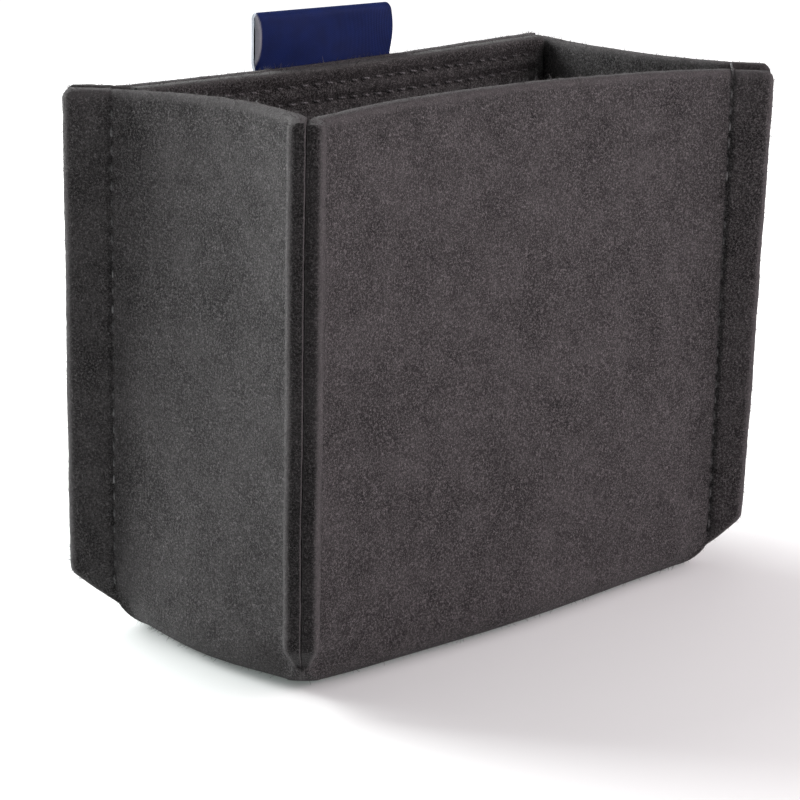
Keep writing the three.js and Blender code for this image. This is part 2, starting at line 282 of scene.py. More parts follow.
def deselect():
    """Leaves edit mode and deselects everything."""
    if bpy.context.object and bpy.context.object.mode != "OBJECT":
        bpy.ops.object.mode_set(mode="OBJECT")
    bpy.ops.object.select_all(action="DESELECT")


def select(*pieces):
    """Selects only these pieces, the first one active."""
    deselect()
    for piece in pieces:
        piece.select_set(True)
    bpy.context.view_layer.objects.active = pieces[0]


def read_rows(items, name):
    """A vector that each of a mesh's items has, as an array of rows."""
    values = np.empty(len(items) * 3)
    items.foreach_get(name, values)
    return values.reshape(-1, 3)


def set_places(mesh, places):
    """Moves the mesh's vertices."""
    mesh.vertices.foreach_set("co", np.asarray(places, dtype=np.float32).ravel())
    mesh.update()


def mark_points(mesh, name, shares):
    """Keeps a number from 0 to 1 for each point of the mesh, as an attribute."""
    marked = mesh.attributes.new(name, "FLOAT", "POINT")
    marked.data.foreach_set("value", shares.astype(np.float32).ravel())


def set_materials(piece, *names):
    """Gives a piece these materials and no others."""
    piece.data.materials.clear()
    for name in names:
        piece.data.materials.append(bpy.data.materials[name])


def smooth_step(value):
    """0 below 0, 1 above 1, and a soft slope between."""
    t = np.clip(value, 0, 1)
    return t * t * (3 - 2 * t)


def bell(distance, width):
    """1 at no distance, falling softly on both sides."""
    return np.exp(-((distance / width) ** 2))


def unit(vector):
    """The vector with a length of 1."""
    return vector / np.linalg.norm(vector)


def direction(azimuth, elevation):
    """The way out at an azimuth and an elevation in radians, where azimuth 0 is the front."""
    level = math.cos(elevation)
    return Vector((math.sin(azimuth) * level, -math.cos(azimuth) * level, math.sin(elevation)))


def spread(end, first, growth, most=1.0):
    """Distances from 0 to end whose steps begin at first and grow to most."""
    steps = [0.0]
    step = first
    while steps[-1] + step < end:
        steps.append(steps[-1] + step)
        step = min(step * growth, most)
    steps.append(end)
    scale = end / (steps[-2] + step) if len(steps) > 2 else 1.0
    return [value * scale for value in steps[:-1]] + [end]


def merge_doubles(piece):
    """Merges vertices that coincide and turns the faces outwards."""
    select(piece)
    bpy.ops.object.mode_set(mode="EDIT")
    bpy.ops.mesh.select_all(action="SELECT")
    bpy.ops.mesh.remove_doubles(threshold=MERGE)
    bpy.ops.mesh.normals_make_consistent(inside=False)
    bpy.ops.object.mode_set(mode="OBJECT")


def smooth_shading(piece, degrees):
    """Smooth shading that keeps edges sharper than the angle."""
    select(piece)
    bpy.ops.object.shade_smooth_by_angle(angle=math.radians(degrees))


def finish_piece(piece, slot, *nodes):
    """Rides a finished piece on the tray, and hides the parts of model.glb that it stands for."""
    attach(piece, "root")
    if nodes:
        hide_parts(*nodes)


# The folded shape


class Plan:
    """Where the felt lies: the body's folds, flanges and rim, from the settings."""

    def __init__(self, body, seams):
        self.body = body
        self.seams = seams
        self.half_seam = body.felt + body.ply_gap / 2
        self.crease_x = body.width / 2 - body.flange * DIAGONAL
        self.crease_y = body.depth / 2 - body.flange * DIAGONAL
        self.crease_offset = self.half_seam / DIAGONAL
        self.back_face = self.crease_y - body.bend_radius * (1 - DIAGONAL)
        self.lining_back = self.back_face - body.felt - body.ply_gap
        self.lining_front = self.lining_back - body.felt
        self.row_half = self.flat_half("back") - 1 * MM

    def crease(self, wall):
        """Distance of a wall's creases from the middle."""
        return self.crease_y if wall in ("front", "back") else self.crease_x

    def span(self, wall):
        """Half the width of a wall to the corners, where both distances meet."""
        return self.crease_x if wall in ("front", "back") else self.crease_y

    def flat_half(self, wall):
        """Half the width of a wall's flat part."""
        return self.span(wall) - self.crease_offset - self.body.bend_radius * DIAGONAL

    def bow(self, wall):
        """How far a wall leans in at the middle of its rim."""
        bows = {"front": self.body.front_bow, "back": 0.0}
        return bows.get(wall, self.body.side_bow)

    def foot_share(self, wall, z):
        """How much of a wall's swollen foot is left at a height."""
        if wall == "back":
            return np.maximum(1 - z / self.body.lined_bulge_height, 0) ** 2
        return np.maximum(1 - z / self.body.height, 0) ** 3

    def wall_place(self, wall, flat, bend, depth, z):
        """(along, out) of a wall's felt: flat is the place between its bends, from -1 to 1, bend
        how much of a bend is done, and depth how far it is inside the outer face."""
        radius = self.body.bend_radius
        centre_along = self.flat_half(wall)
        centre_out = self.crease(wall) + radius * DIAGONAL
        lean = self.bow(wall) * (z / self.body.height)
        end_slope = np.arctan(2 * lean / centre_along)
        half = centre_along + radius * np.sin(end_slope)
        slope = np.arctan(2 * lean * flat / half)
        flat_along = half * flat + depth * np.sin(slope)
        flat_out = centre_out - radius * np.cos(end_slope) - lean * (1 - flat**2)
        flat_out = flat_out - depth * np.cos(slope)
        turn = end_slope + (EIGHTH - end_slope) * np.abs(bend)
        bent_along = np.sign(bend) * (centre_along + (radius + depth) * np.sin(turn))
        bent_out = centre_out - (radius + depth) * np.cos(turn)
        along = np.where(bend == 0, flat_along, bent_along)
        straight = np.where(bend == 0, flat_out, bent_out)

        end_along = centre_along + (radius + depth) * DIAGONAL
        end_out = centre_out - (radius + depth) * DIAGONAL
        swollen_middle = self.crease(wall) + self.body.bottom_bulge - depth
        swell = np.cos(QUARTER * along / end_along) ** 2
        swollen = end_out + (swollen_middle - end_out) * swell
        share = self.foot_share(wall, z)
        return along, straight * (1 - share) + swollen * share

    def flange_reach(self, corner, wall, z):
        """Width of a wall's ply in a corner's flange at a height: nothing at the crease end of its
        slanting cut."""
        index = list(CORNERS).index(corner)
        rise = (z - self.body.cut_tip) / (self.body.height - self.body.cut_tip)
        foot = self.body.flange_foot[index]
        full = foot + (self.body.flange_top[index] - foot) * np.clip(rise, 0, 1) ** 0.8
        first = CORNERS[corner]["walls"][0] == wall
        full = full + self.body.ply_step[index] * (0.5 if first else -0.5)
        root = self.body.cut_root[index]
        cut = (z - root) / (self.body.cut_tip - root) * full
        soft = 0.9 * MM
        nearer = np.clip(0.5 + (full - cut) / (2 * soft), 0, 1)
        reach = full * (1 - nearer) + cut * nearer - soft * nearer * (1 - nearer)
        worn_width = 1.1 * MM
        worn_height = 1.5 * MM
        above = z - (self.body.height - worn_height)
        worn = worn_width * np.clip(above / worn_height, 0, 1) ** 2
        return np.maximum(reach - worn, 0)

    def rim_rise(self, wall, along, z):
        """How much higher than drawn a wall's rim stands, fading out downwards."""
        index = list(WALLS).index(wall)
        start = self.body.rim_start[index]
        middle = self.body.rim_middle[index]
        end = self.body.rim_end[index]
        place = np.clip(along / self.flat_half(wall), -1.05, 1.05)
        rise = middle + place * (end - start) / 2 + place**2 * ((start + end) / 2 - middle)
        return rise * smooth_step(z / self.body.height)

    def to_tray(self, wall, along, out, z):
        """Turns a wall's own (along, out, z) into the tray's frame."""
        way = WALLS[wall]
        x = way["along"][0] * along + way["out"][0] * out
        y = way["along"][1] * along + way["out"][1] * out
        return np.stack([x, y, np.broadcast_to(z, x.shape)], axis=-1)

    def corner_frame(self, corner):
        """(middle of the two creases, way out along the flange, way across it)."""
        way = np.array(CORNERS[corner]["way"])
        middle = way * (np.array([self.crease_x, self.crease_y]) - self.crease_offset / 2)
        out = way * DIAGONAL
        return middle, out, np.array([-out[1], out[0]])


def wall_columns(plan, wall):
    """The columns of a wall's sheet: place between its bends, share of the bend, share of the
    flange's width and angle round its cut edge."""
    body = plan.body
    crease_step = 0.25 * MM
    crease_growth = 1.3
    flange_step = 1.1 * MM
    bend_step = 0.7 * MM
    flat_growth = 1.25
    flat_step = 2.4 * MM
    tip_steps = 4
    arc = body.bend_radius * EIGHTH
    beside_crease = spread(arc, crease_step, crease_growth)
    tip_round = body.tip_round[list(WALLS).index(wall)]
    on_flange = spread(body.flange - tip_round, crease_step, crease_growth, flange_step)
    side = [(1, 1 - distance / arc, 0, 0) for distance in beside_crease[::-1]]
    side += [(1, 1, distance / on_flange[-1], 0) for distance in on_flange[1:]]
    side += [(1, 1, 1, QUARTER * (k + 1) / tip_steps) for k in range(tip_steps)]
    half = plan.flat_half(wall)
    from_bend = spread(half, bend_step, flat_growth, flat_step)
    flats = [(distance / half - 1, 0, 0, 0) for distance in from_bend[1:]]
    flats += [(1 - distance / half, 0, 0, 0) for distance in from_bend[-2:0:-1]]
    start = [(-1, -bend, -share, -tip) for _, bend, share, tip in side[::-1]]
    return np.array(start + flats + side)


def body_rows(plan):
    """The rows of a wall's sheet from the middle of the bottom to the rim: share of the way to
    the middle, turn of the bottom fold, height and angle round the rim's edge."""
    body = plan.body
    bottom_steps = 6
    fold_steps = 12
    rim_steps = 3
    rows = [(1 - k / bottom_steps, 0, 0, 0) for k in range(bottom_steps)]
    rows += [(0, QUARTER * k / fold_steps, 0, 0) for k in range(fold_steps)]
    straight_top = body.height - body.rim_round
    count = round((straight_top - body.fold_radius) / (plan.seams.pitch / 4))
    step = (straight_top - body.fold_radius) / count
    rows += [(0, QUARTER, body.fold_radius + step * k, 0) for k in range(count + 1)]
    rows += [(0, QUARTER, straight_top, QUARTER * (k + 1) / rim_steps) for k in range(rim_steps)]
    return np.array(rows)


def corner_places(plan, wall, side, share, tip, inside):
    """(along, out) of a flange's columns below the flange, where the felt goes round the corner to
    meet the next wall on the diagonal."""
    body = plan.body
    outer_round = body.tip_round[list(WALLS).index(wall)]
    bulge = 0.0 if inside else 1.1 * MM
    across = 0.0 if inside else plan.half_seam
    nominal = body.flange - outer_round
    round_share = (share * nominal + outer_round * np.sin(tip)) / body.flange
    middle_along = plan.span(wall) - plan.crease_offset / 2
    middle_out = plan.crease(wall) - plan.crease_offset / 2
    x_local = bulge * np.sin(QUARTER * round_share)
    y_local = across * np.cos(QUARTER * round_share)
    along = side * (middle_along + (x_local - y_local) * DIAGONAL)
    return along, middle_out + (x_local + y_local) * DIAGONAL


def folded_places(plan, wall, columns, rows, inside):
    """Where each point of a wall's sheet lies after folding, on its outer or inner face."""
    body = plan.body
    flat, bend, share, tip = (columns[None, :, k] for k in range(4))
    to_middle, fold, height, rim = (rows[:, None, k] for k in range(4))
    ends = np.where(columns[:, 2] + columns[:, 3] < 0, 0, 1)[None, :]
    share, tip, side = np.abs(share), np.abs(tip), np.where(bend < 0, -1.0, 1.0)

    outer_round = body.tip_round[list(WALLS).index(wall)]
    tip_round = body.slit_round if inside else outer_round
    on_flange = (share > 0) | (tip > 0)
    plain_round = body.slit_round if inside and wall == "back" else body.rim_round
    rim_round = np.where(on_flange & inside, 0.4 * body.slit_round, plain_round)
    worn = rim_round * (1 - np.cos(rim)) + tip_round * (1 - np.cos(tip))
    worn = np.minimum(worn, 0.6 * body.felt)
    depth = body.felt - worn if inside else worn
    face = body.felt if inside else 0.0
    radius = body.fold_radius - face
    inset = radius * (1 - np.sin(fold))
    on_wall = fold >= QUARTER
    z = np.where(
        on_wall,
        height + body.rim_round * np.sin(rim),
        body.fold_radius - radius * np.cos(fold),
    )

    along, out = plan.wall_place(wall, flat, bend, depth, z)
    plain_along, _ = plan.wall_place(wall, flat, bend, 0, z)
    names = WALLS[wall]["ends"]
    reach = np.where(
        ends == 0,
        plan.flange_reach(names[0], wall, z),
        plan.flange_reach(names[1], wall, z),
    )
    edge = np.minimum(tip_round, reach / 2)
    run = share * (reach - edge) + edge * np.sin(tip)
    flange_along = along + side * run * DIAGONAL
    flange_out = out + run * DIAGONAL

    corner_along, corner_out = corner_places(plan, wall, side, share, tip, inside)
    below = reach <= 0
    along = np.where(on_flange, np.where(below, corner_along, flange_along), along)
    out = np.where(on_flange, np.where(below, corner_out, flange_out), out)

    places = plan.to_tray(wall, along, out, z)
    places[..., 2] += plan.rim_rise(wall, plain_along, z)
    drops = [body.tip_drop[list(CORNERS).index(name)] for name in names]
    drop = np.where(ends == 0, drops[0], drops[1]) * run / body.flange
    places[..., 2] -= np.where(on_flange, drop, 0) * smooth_step(z / body.height) ** 3
    places[..., 0] *= 1 - inset / plan.crease_x
    places[..., 1] *= 1 - inset / plan.crease_y
    spine = 1 - (plan.crease_y - body.fold_radius) / (plan.crease_x - body.fold_radius)
    places[..., 0] *= 1 - to_middle * (1 - spine)
    places[..., 1] *= 1 - to_middle
    return places


def flat_sheet(name, columns, rows):
    """A flat grid with that many points each way, and each point's column and row."""
    deselect()
    bpy.ops.mesh.primitive_grid_add(x_subdivisions=columns - 1, y_subdivisions=rows - 1, size=1)
    sheet = bpy.context.object
    sheet.name = name
    places = read_rows(sheet.data.vertices, "co")
    column = np.rint((places[:, 0] + 0.5) * (columns - 1)).astype(int)
    row = np.rint((places[:, 1] + 0.5) * (rows - 1)).astype(int)
    return sheet, column, row


def fold_up(name, outside, inside, cut):
    """Folds a flat sheet, given each point's place on both faces. The inner places go along as
    an attribute until the sheet has its thickness, and cut marks the cut edges for good."""
    rows, columns, _ = outside.shape
    sheet, column, row = flat_sheet(name, columns, rows)
    set_places(sheet.data, outside[row, column])
    kept = sheet.data.attributes.new("inside_place", "FLOAT_VECTOR", "POINT")
    kept.data.foreach_set("vector", inside[row, column].astype(np.float32).ravel())
    mark_points(sheet.data, "cut_edge", cut[row, column])
    return sheet


def cut_share(tip, rim):
    """How near each point is to a cut, from the angles round its edges: 1 on an upright cut, and
    less on the rims, so that they get the felt's painted highlight rather than its cut darkening."""
    rim_share = 0.4
    return np.maximum((np.abs(tip) / QUARTER) ** 2, rim_share * (np.abs(rim) / QUARTER) ** 2)


def thicken(sheet, thickness):
    """Gives a folded sheet its thickness, with the inner face where it was worked out."""
    count = len(sheet.data.vertices)
    select(sheet)
    solid = sheet.modifiers.new("thickness", "SOLIDIFY")
    solid.thickness = thickness
    solid.offset = -1
    bpy.ops.object.modifier_apply(modifier=solid.name)
    mesh = sheet.data
    if len(mesh.vertices) != 2 * count:
        raise RuntimeError(f"{sheet.name} has {len(mesh.vertices)} points, not {2 * count}")
    places = read_rows(mesh.vertices, "co")
    places[count:] = read_rows(mesh.attributes["inside_place"].data, "vector")[count:]
    set_places(mesh, places)
    mesh.attributes.remove(mesh.attributes["inside_place"])


# What sewing and wear do to the felt


def seam_pull(plan, beside, z):
    """How deep a corner seam pulls the felt in, at a distance beside its line and a height."""
    seams = plan.seams
    line_width = 0.42 * MM
    hole_width = 0.6 * MM
    hollow_width = 2.4 * MM
    fade = 2 * MM
    at_hole = 0.5 + 0.5 * np.cos(2 * math.pi * (z - seams.foot) / seams.pitch)
    line = seams.line_pull * bell(beside, line_width)
    hole = seams.hole_pull * at_hole**2 * bell(beside, hole_width)
    hollow = seams.pucker * at_hole * bell(beside, hollow_width)
    ends = smooth_step((z - seams.foot + fade) / fade)
    return (line + hole + hollow) * ends


def pull_corner_seams(plan, places):
    """Draws the felt in along the creases, on the outer face of each ply."""
    reach = 6 * MM
    inner_face = 1.9 * MM
    for corner in CORNERS:
        middle, out, across = plan.corner_frame(corner)
        local = places[:, :2] - middle
        beside = local @ out
        depth = local @ across
        on_outer_face = (np.abs(depth) > inner_face) & (np.abs(depth) < reach)
        near = (np.abs(beside) < reach) & on_outer_face
        pull = np.where(near, seam_pull(plan, beside, places[:, 2]), 0.0)
        toward = -np.sign(depth)[:, None] * across[None, :]
        places[:, :2] += toward * pull[:, None]


def draw_in_corners(plan, places):
    """Draws the bottom's corners in, and the plies of each flange together towards its foot."""
    body = plan.body
    reach = 16 * MM
    drawn_height = 1.6 * body.fold_radius
    lift_share = 0.15
    pinch_share = 0.5
    pinch_reach = reach / 1.6
    pinch_depth = 9 * MM
    pinch_fade = 6 * MM
    pinch_top = body.cut_tip + 1 * MM
    top_fade = 7 * MM
    pinch_foot = 0.5 * MM
    foot_fade = 4.5 * MM
    for corner, draw in zip(CORNERS, body.corner_draw):
        middle, out, across = plan.corner_frame(corner)
        local = places[:, :2] - middle
        depth = local @ across
        inward = np.clip(1 + (local @ out) / reach, 0, 1)
        beside = np.clip(1 - np.abs(depth) / reach, 0, 1)
        low = np.clip(1 - places[:, 2] / drawn_height, 0, 1)
        share = smooth_step(inward) * smooth_step(beside) * low
        near = smooth_step((pinch_depth - np.abs(depth)) / pinch_fade)
        near = near * smooth_step(inward * reach / pinch_reach)
        foot = smooth_step((pinch_top - places[:, 2]) / top_fade)
        foot *= smooth_step((places[:, 2] - pinch_foot) / foot_fade)
        pinch = pinch_share * depth * near * foot
        places[:, :2] -= out[None, :] * (draw * share)[:, None]
        places[:, :2] -= across[None, :] * pinch[:, None]
        places[:, 2] += lift_share * draw * share


def row_pull(plan, x, drop):
    """How deep the two rows along the back rim pull the felt in."""
    seams = plan.seams
    line_width = 0.95 * MM
    hole_width = 0.7 * MM
    line_share = 0.65
    hole_share = 0.35
    fade = 1.5 * MM
    at_hole = 0.5 + 0.5 * np.cos(2 * math.pi * (x + plan.row_half) / seams.pitch)
    pull = np.zeros_like(x)
    for row in (seams.upper_row, seams.lower_row):
        line = bell(drop - row, line_width)
        hole = hole_share * at_hole * bell(drop - row, hole_width)
        pull += seams.row_pull * (line_share * line + hole)
    ends = smooth_step((plan.row_half + fade - np.abs(x)) / fade)
    return pull * ends


def pull_rim_rows(plan, places, face, way):
    """Draws the felt in along the rim rows, on the upright face at Y = face that looks way."""
    beside = 0.8 * MM
    below = 12 * MM
    near = (np.abs(places[:, 1] - face) < beside) & (places[:, 2] > plan.body.height - below)
    rise = plan.rim_rise("back", -places[:, 0], places[:, 2])
    pull = row_pull(plan, places[:, 0], plan.body.height + rise - places[:, 2])
    places[:, 1] -= way * np.where(near, pull, 0.0)


def waves(places, amount, lumps, normals):
    """Slow waves that move both faces alike, and small lumps on each face. The bottom stays flat."""
    noise.seed_set(7)
    still = 2 * MM
    fade = 8 * MM
    slow_parts = ((28, 0.7), (75, 0.35))
    small_parts = ((420, 0.6), (900, 0.4))
    on_bottom = 0.3
    moved = places.copy()
    for index, place in enumerate(places):
        point = Vector(place)
        free = min(max((point.z - still) / fade, 0.0), 1.0)
        slow = [noise.noise_vector(point * rate) * share for rate, share in slow_parts]
        small = [noise.noise(point * rate) * share for rate, share in small_parts]
        lump = sum(small) * lumps * (on_bottom + (1 - on_bottom) * free)
        moved[index] += np.array(sum(slow, Vector())) * amount * free + normals[index] * lump
    moved[:, 2] = np.maximum(moved[:, 2], 0.0)
    return moved


def sew_felt(plan, piece, face, way, with_corners):
    """Gives a folded piece of felt its thickness, its waves and the pull of its stitches. The rim
    rows lie on its upright face at Y = face that looks way."""
    merge_doubles(piece)
    thicken(piece, plan.body.felt)
    merge_doubles(piece)
    places = read_rows(piece.data.vertices, "co")
    normals = read_rows(piece.data.vertex_normals, "vector")
    if with_corners:
        draw_in_corners(plan, places)
    places = waves(places, plan.body.waviness, plan.body.lumps, normals)
    if with_corners:
        pull_corner_seams(plan, places)
    pull_rim_rows(plan, places, face, way)
    set_places(piece.data, places)
    smooth_shading(piece, 70)


# The lining


def lining_columns(plan, lining, edge_steps):
    """The columns of the lining's sheet: place between the back wall's bends, and angle round the
    sheet's edge."""
    half = plan.flat_half("back") + lining.reach - lining.edge_round
    widest = half / plan.flat_half("back")
    count = round(2 * half / (plan.seams.pitch / 4))
    columns = [(-widest, -angle) for angle in edge_steps[::-1]]
    columns += [(widest * (2 * i / count - 1), 0) for i in range(count + 1)]
    columns += [(widest, angle) for angle in edge_steps]
    return np.array(columns)


def lining_rows(plan, lining, edge_steps):
    """The rows of the lining's sheet: height, and angle round the sheet's edge. They lie closer
    where the stitches are."""
    stitched = 9 * MM
    plain_steps = 32
    stitched_steps = 24
    foot = lining.foot + lining.edge_round
    top = plan.body.height - lining.edge_round
    below_stitches = top - stitched
    rows = [(foot, -angle) for angle in edge_steps[::-1]]
    rows += [(z, 0) for z in np.linspace(foot, below_stitches, plain_steps)]
    rows += [(z, 0) for z in np.linspace(below_stitches, top, stitched_steps)[1:]]
    rows += [(top, angle) for angle in edge_steps]
    return np.array(rows)


def lining_places(plan, lining, columns, rows, front):
    """Where each point of the lining's sheet lies, on its front or back face."""
    body = plan.body
    most_worn = 1.2 * MM
    flat, end = (columns[None, :, k] for k in range(2))
    height, rim = (rows[:, None, k] for k in range(2))
    radius = lining.edge_round if front else lining.back_round
    worn = np.minimum(radius * (2 - np.cos(rim) - np.cos(end)), most_worn)
    far = body.felt + body.ply_gap
    depth = far + body.felt - worn if front else far + worn
    z = height + lining.edge_round * np.sin(rim)
    along, out = plan.wall_place("back", flat, np.zeros_like(flat), depth, z)
    along = along + lining.edge_round * np.sin(end)
    places = plan.to_tray("back", along, out, z)
    places[..., 2] += plan.rim_rise("back", along, z)
    return places


# Loose fibres and stitches, each modelled once and copied


def extruded(name, sides, sections):
    """A closed tube along Z: a circle extruded through sections of (x, y, z, radius)."""
    deselect()
    first = sections[0]
    bpy.ops.mesh.primitive_circle_add(
        vertices=sides, radius=first[3], fill_type="NGON", location=first[:3]
    )
    tube = bpy.context.object
    tube.name = name
    bpy.ops.object.transform_apply(location=True, rotation=False, scale=False)
    bpy.ops.object.mode_set(mode="EDIT")
    bpy.ops.mesh.select_all(action="SELECT")
    for before, after in zip(sections, sections[1:]):
        step = [b - a for a, b in zip(before[:3], after[:3])]
        bpy.ops.mesh.extrude_region_move(TRANSFORM_OT_translate={"value": step})
        ratio = after[3] / before[3]
        bpy.ops.transform.resize(value=(ratio, ratio, 1), center_override=after[:3])
    merge_doubles(tube)
    return tube


def taken_mesh(piece):
    """(vertices, faces) of a pattern piece, which is then deleted."""
    mesh = piece.data
    places = read_rows(mesh.vertices, "co")
    faces = [tuple(face.vertices) for face in mesh.polygons]
    bpy.data.objects.remove(piece)
    bpy.data.meshes.remove(mesh)
    return places, faces


def copies(name, patterns, placed):
    """One piece of many copies. placed is a list of (pattern's number, 4 x 4 matrix)."""
    points, faces, start = [], [], 0
    for number, matrix in placed:
        places, corners = patterns[number]
        points.append(places @ matrix[:3, :3].T + matrix[:3, 3])
        faces += [tuple(start + corner for corner in face) for face in corners]
        start += len(places)
    mesh = bpy.data.meshes.new(name)
    mesh.from_pydata(np.concatenate(points).tolist(), [], faces)
    mesh.update()
    piece = bpy.data.objects.new(name, mesh)
    bpy.context.scene.collection.objects.link(piece)
    return piece


def frame_matrix(x_way, y_way, z_way, place):
    """A matrix that puts a pattern's axes along three ways at a place."""
    matrix = np.identity(4)
    matrix[:3] = np.stack([x_way, y_way, z_way, place], axis=1)
    return matrix


def stitch_pattern(seams):
    """One stitch along Z that arches out along Y and dives into the felt at both ends."""
    half = seams.pitch * seams.stitch_share / 2
    radius = seams.thread / 2
    sides = 6
    steps = 8
    end_depth = 2.4
    end_thickness = 0.75
    sections = []
    for k in range(steps + 1):
        t = k / steps * 2 - 1
        arch = 1 - abs(t) ** 3
        thin = end_thickness + (1 - end_thickness) * (1 - t * t)
        sections.append((0, (arch - 1) * end_depth * seams.thread, t * half, radius * thin))
    return taken_mesh(extruded("stitch", sides, sections))


def corner_stitches(plan, corner, side):
    """The matrices of the stitches on one face of a corner seam."""
    seams = plan.seams
    middle, out, across = plan.corner_frame(corner)
    below_rim = 1.2 * MM
    way = side * across
    placed = []
    count = int((plan.body.height - below_rim - seams.foot) / seams.pitch)
    maker = random.Random(f"{corner} {side}")
    for k in range(count):
        z = seams.foot + seams.pitch * (k + 0.5)
        sunk = plan.half_seam - seams.line_pull + maker.uniform(-0.1, 0.12) * MM
        place = middle + way * sunk + out * maker.uniform(-0.08, 0.08) * MM
        lean = maker.uniform(-0.05, 0.05)
        z_way = unit(np.array([*(out * lean), 1.0]))
        y_way = np.array([*way, 0.0])
        x_way = np.cross(y_way, z_way)
        placed.append((0, frame_matrix(x_way, y_way, z_way, [*place, z])))
    if (corner, side) == ("front_right", 1):
        placed.append((0, rim_stitch(plan, corner)))
    return placed


def rim_stitch(plan, corner):
    """The matrix of a stitch with which a corner seam runs off over the rims of both plies."""
    body = plan.body
    seams = plan.seams
    middle, _, across = plan.corner_frame(corner)
    first, second = (list(WALLS).index(wall) for wall in CORNERS[corner]["walls"])
    first_rise, second_rise = body.rim_end[first], body.rim_start[second]
    stretch = 1 / (seams.pitch * seams.stitch_share)
    span = 2 * plan.half_seam * across
    z_way = np.array([*span, second_rise - first_rise]) * stretch
    y_way = np.array([0.0, 0.0, 1.0])
    x_way = unit(np.cross(y_way, z_way))
    above = 0.1 * MM
    z = body.height + (first_rise + second_rise) / 2 + above
    return frame_matrix(x_way, y_way, z_way, [*middle, z])


def row_stitches(plan, drop, outer, ribbon):
    """The matrices of the stitches of one rim row, on the lining or on the back. Behind the tab
    the outer ones lie on the ribbon's tails, which they hold."""
    seams = plan.seams
    body = plan.body
    way = 1.0 if outer else -1.0
    face = plan.back_face if outer else plan.lining_front
    slant = 0.1 * way
    proud = 0.12 * MM
    sunk = 0.62 * seams.row_pull
    on_felt = face - way * (sunk - proud)
    on_ribbon = face + body.ply_gap + 2 * ribbon.thickness + proud
    on_ribbon_half = ribbon.width / 2 - 0.4 * seams.pitch
    y_way = np.array([0.0, way, 0.0])
    placed = []
    count = int(2 * plan.row_half / seams.pitch)
    maker = random.Random(f"{drop:.4f} {outer}")
    for k in range(count):
        x = -plan.row_half + seams.pitch * (k + 0.5)
        rise = float(plan.rim_rise("back", np.array(-x), np.array(body.height - drop)))
        z = body.height - drop + rise + maker.uniform(-0.1, 0.1) * MM
        z_way = unit(np.array([1.0, 0.0, maker.uniform(-0.06, 0.06) + slant]))
        x_way = np.cross(y_way, z_way)
        behind_tab = outer and abs(x - ribbon.centre) < on_ribbon_half
        y = on_ribbon if behind_tab else on_felt
        placed.append((0, frame_matrix(x_way, y_way, z_way, [x, y, z])))
    return placed


# The ribbon


def ribbon_path(plan, ribbon, side_rows, fold_rows):
    """(y, z) of the ribbon's rows: up its front, over the fold and down its reverse, whose tail
    lies against the front's."""
    height = plan.body.height
    front_y = plan.back_face + plan.body.ply_gap
    half = ribbon.hollow / 2 + ribbon.thickness
    top = height + ribbon.rise - half
    foot = height - ribbon.tail
    middle_y = front_y + half
    tails = 2 * ribbon.thickness + plan.body.ply_gap
    path = [(front_y, z) for z in np.linspace(foot, top, side_rows)]
    path += [
        (middle_y - half * math.cos(angle), top + half * math.sin(angle))
        for angle in np.linspace(0, math.pi, fold_rows)[1:-1]
    ]
    for z in np.linspace(top, foot, side_rows):
        drawn_in = float(smooth_step((height - z) / plan.seams.upper_row))
        path.append((middle_y + half - (2 * half - tails) * drawn_in, z))
    return np.array(path)


def ribbon_shape(plan, ribbon, across, place, on_front):
    """Where the ribbon's points lie, and how bare their thread is on both faces. across is the
    distance from the left selvage, and place the (y, z) on the path."""
    height = plan.body.height
    full_turn = math.radians(50)
    tuck = 0.8 * ribbon.curl
    tuck_width = 4 * MM
    ripple_depth = 0.25 * MM
    ripple_turn = 7
    bulge_start = 0.8 * ribbon.width
    bulge_width = 0.2 * ribbon.width
    selvage_fade = 0.3 * MM
    pale_fade = 0.8 * MM
    pale_foot = height + 1.4 * MM
    pale_crest = height + ribbon.rise - 3.4 * MM

    # Between the fold and the rim, the front's left selvage curls back, its right one bulges to
    # the side, and its middle ripples a little.
    x = ribbon.centre - ribbon.width / 2 + across
    y = place[:, 0]
    z = place[:, 1]
    share_up = np.clip((z - height) / ribbon.rise, 0, 1)
    swell = np.sin(math.pi * share_up) * (z > height)
    curled = np.maximum(ribbon.curl - across, 0)
    turn = curled / ribbon.curl * full_turn
    curl_radius = ribbon.curl / full_turn
    x = x + (curled - curl_radius * np.sin(turn)) * on_front
    y = y + curl_radius * (1 - np.cos(turn)) * on_front
    x = x + ribbon.bulge * swell * smooth_step((across - bulge_start) / bulge_width)
    x = x + (1 - on_front) * tuck * smooth_step(1 - across / tuck_width)
    y = y - ripple_depth * swell * np.sin(across / ribbon.width * ripple_turn) * on_front

    # Bare thread shows on the curled selvage, and inside the loop near its crest and its foot.
    # Elsewhere inside the loop the reverse's near-black colour is a painted shade of the hollow.
    selvage_width = ribbon.curl * np.sqrt(swell)
    selvage = smooth_step((selvage_width - across) / selvage_fade) * on_front
    near_crest = smooth_step((z - pale_crest) / pale_fade)
    near_foot = smooth_step((pale_foot - z) / pale_fade)
    return np.stack([x, y, z], axis=1), selvage, np.maximum(near_crest, near_foot)


# Materials


def shade(rgb, factor):
    """A colour made darker or lighter, with alpha."""
    return (*(min(channel * factor, 1.0) for channel in rgb), 1.0)


def set_values(node, values):
    """Links a node's input sockets to other nodes' outputs, or sets them to plain values."""
    for name, value in values.items():
        if isinstance(value, bpy.types.NodeSocket):
            node.id_data.links.new(value, node.inputs[name])
        else:
            node.inputs[name].default_value = value


def add_node(tree, kind, values, **settings):
    """A new node with its own settings and its input sockets."""
    node = tree.nodes.new(f"ShaderNode{kind}")
    for name, value in settings.items():
        setattr(node, name, value)
    set_values(node, values)
    return node


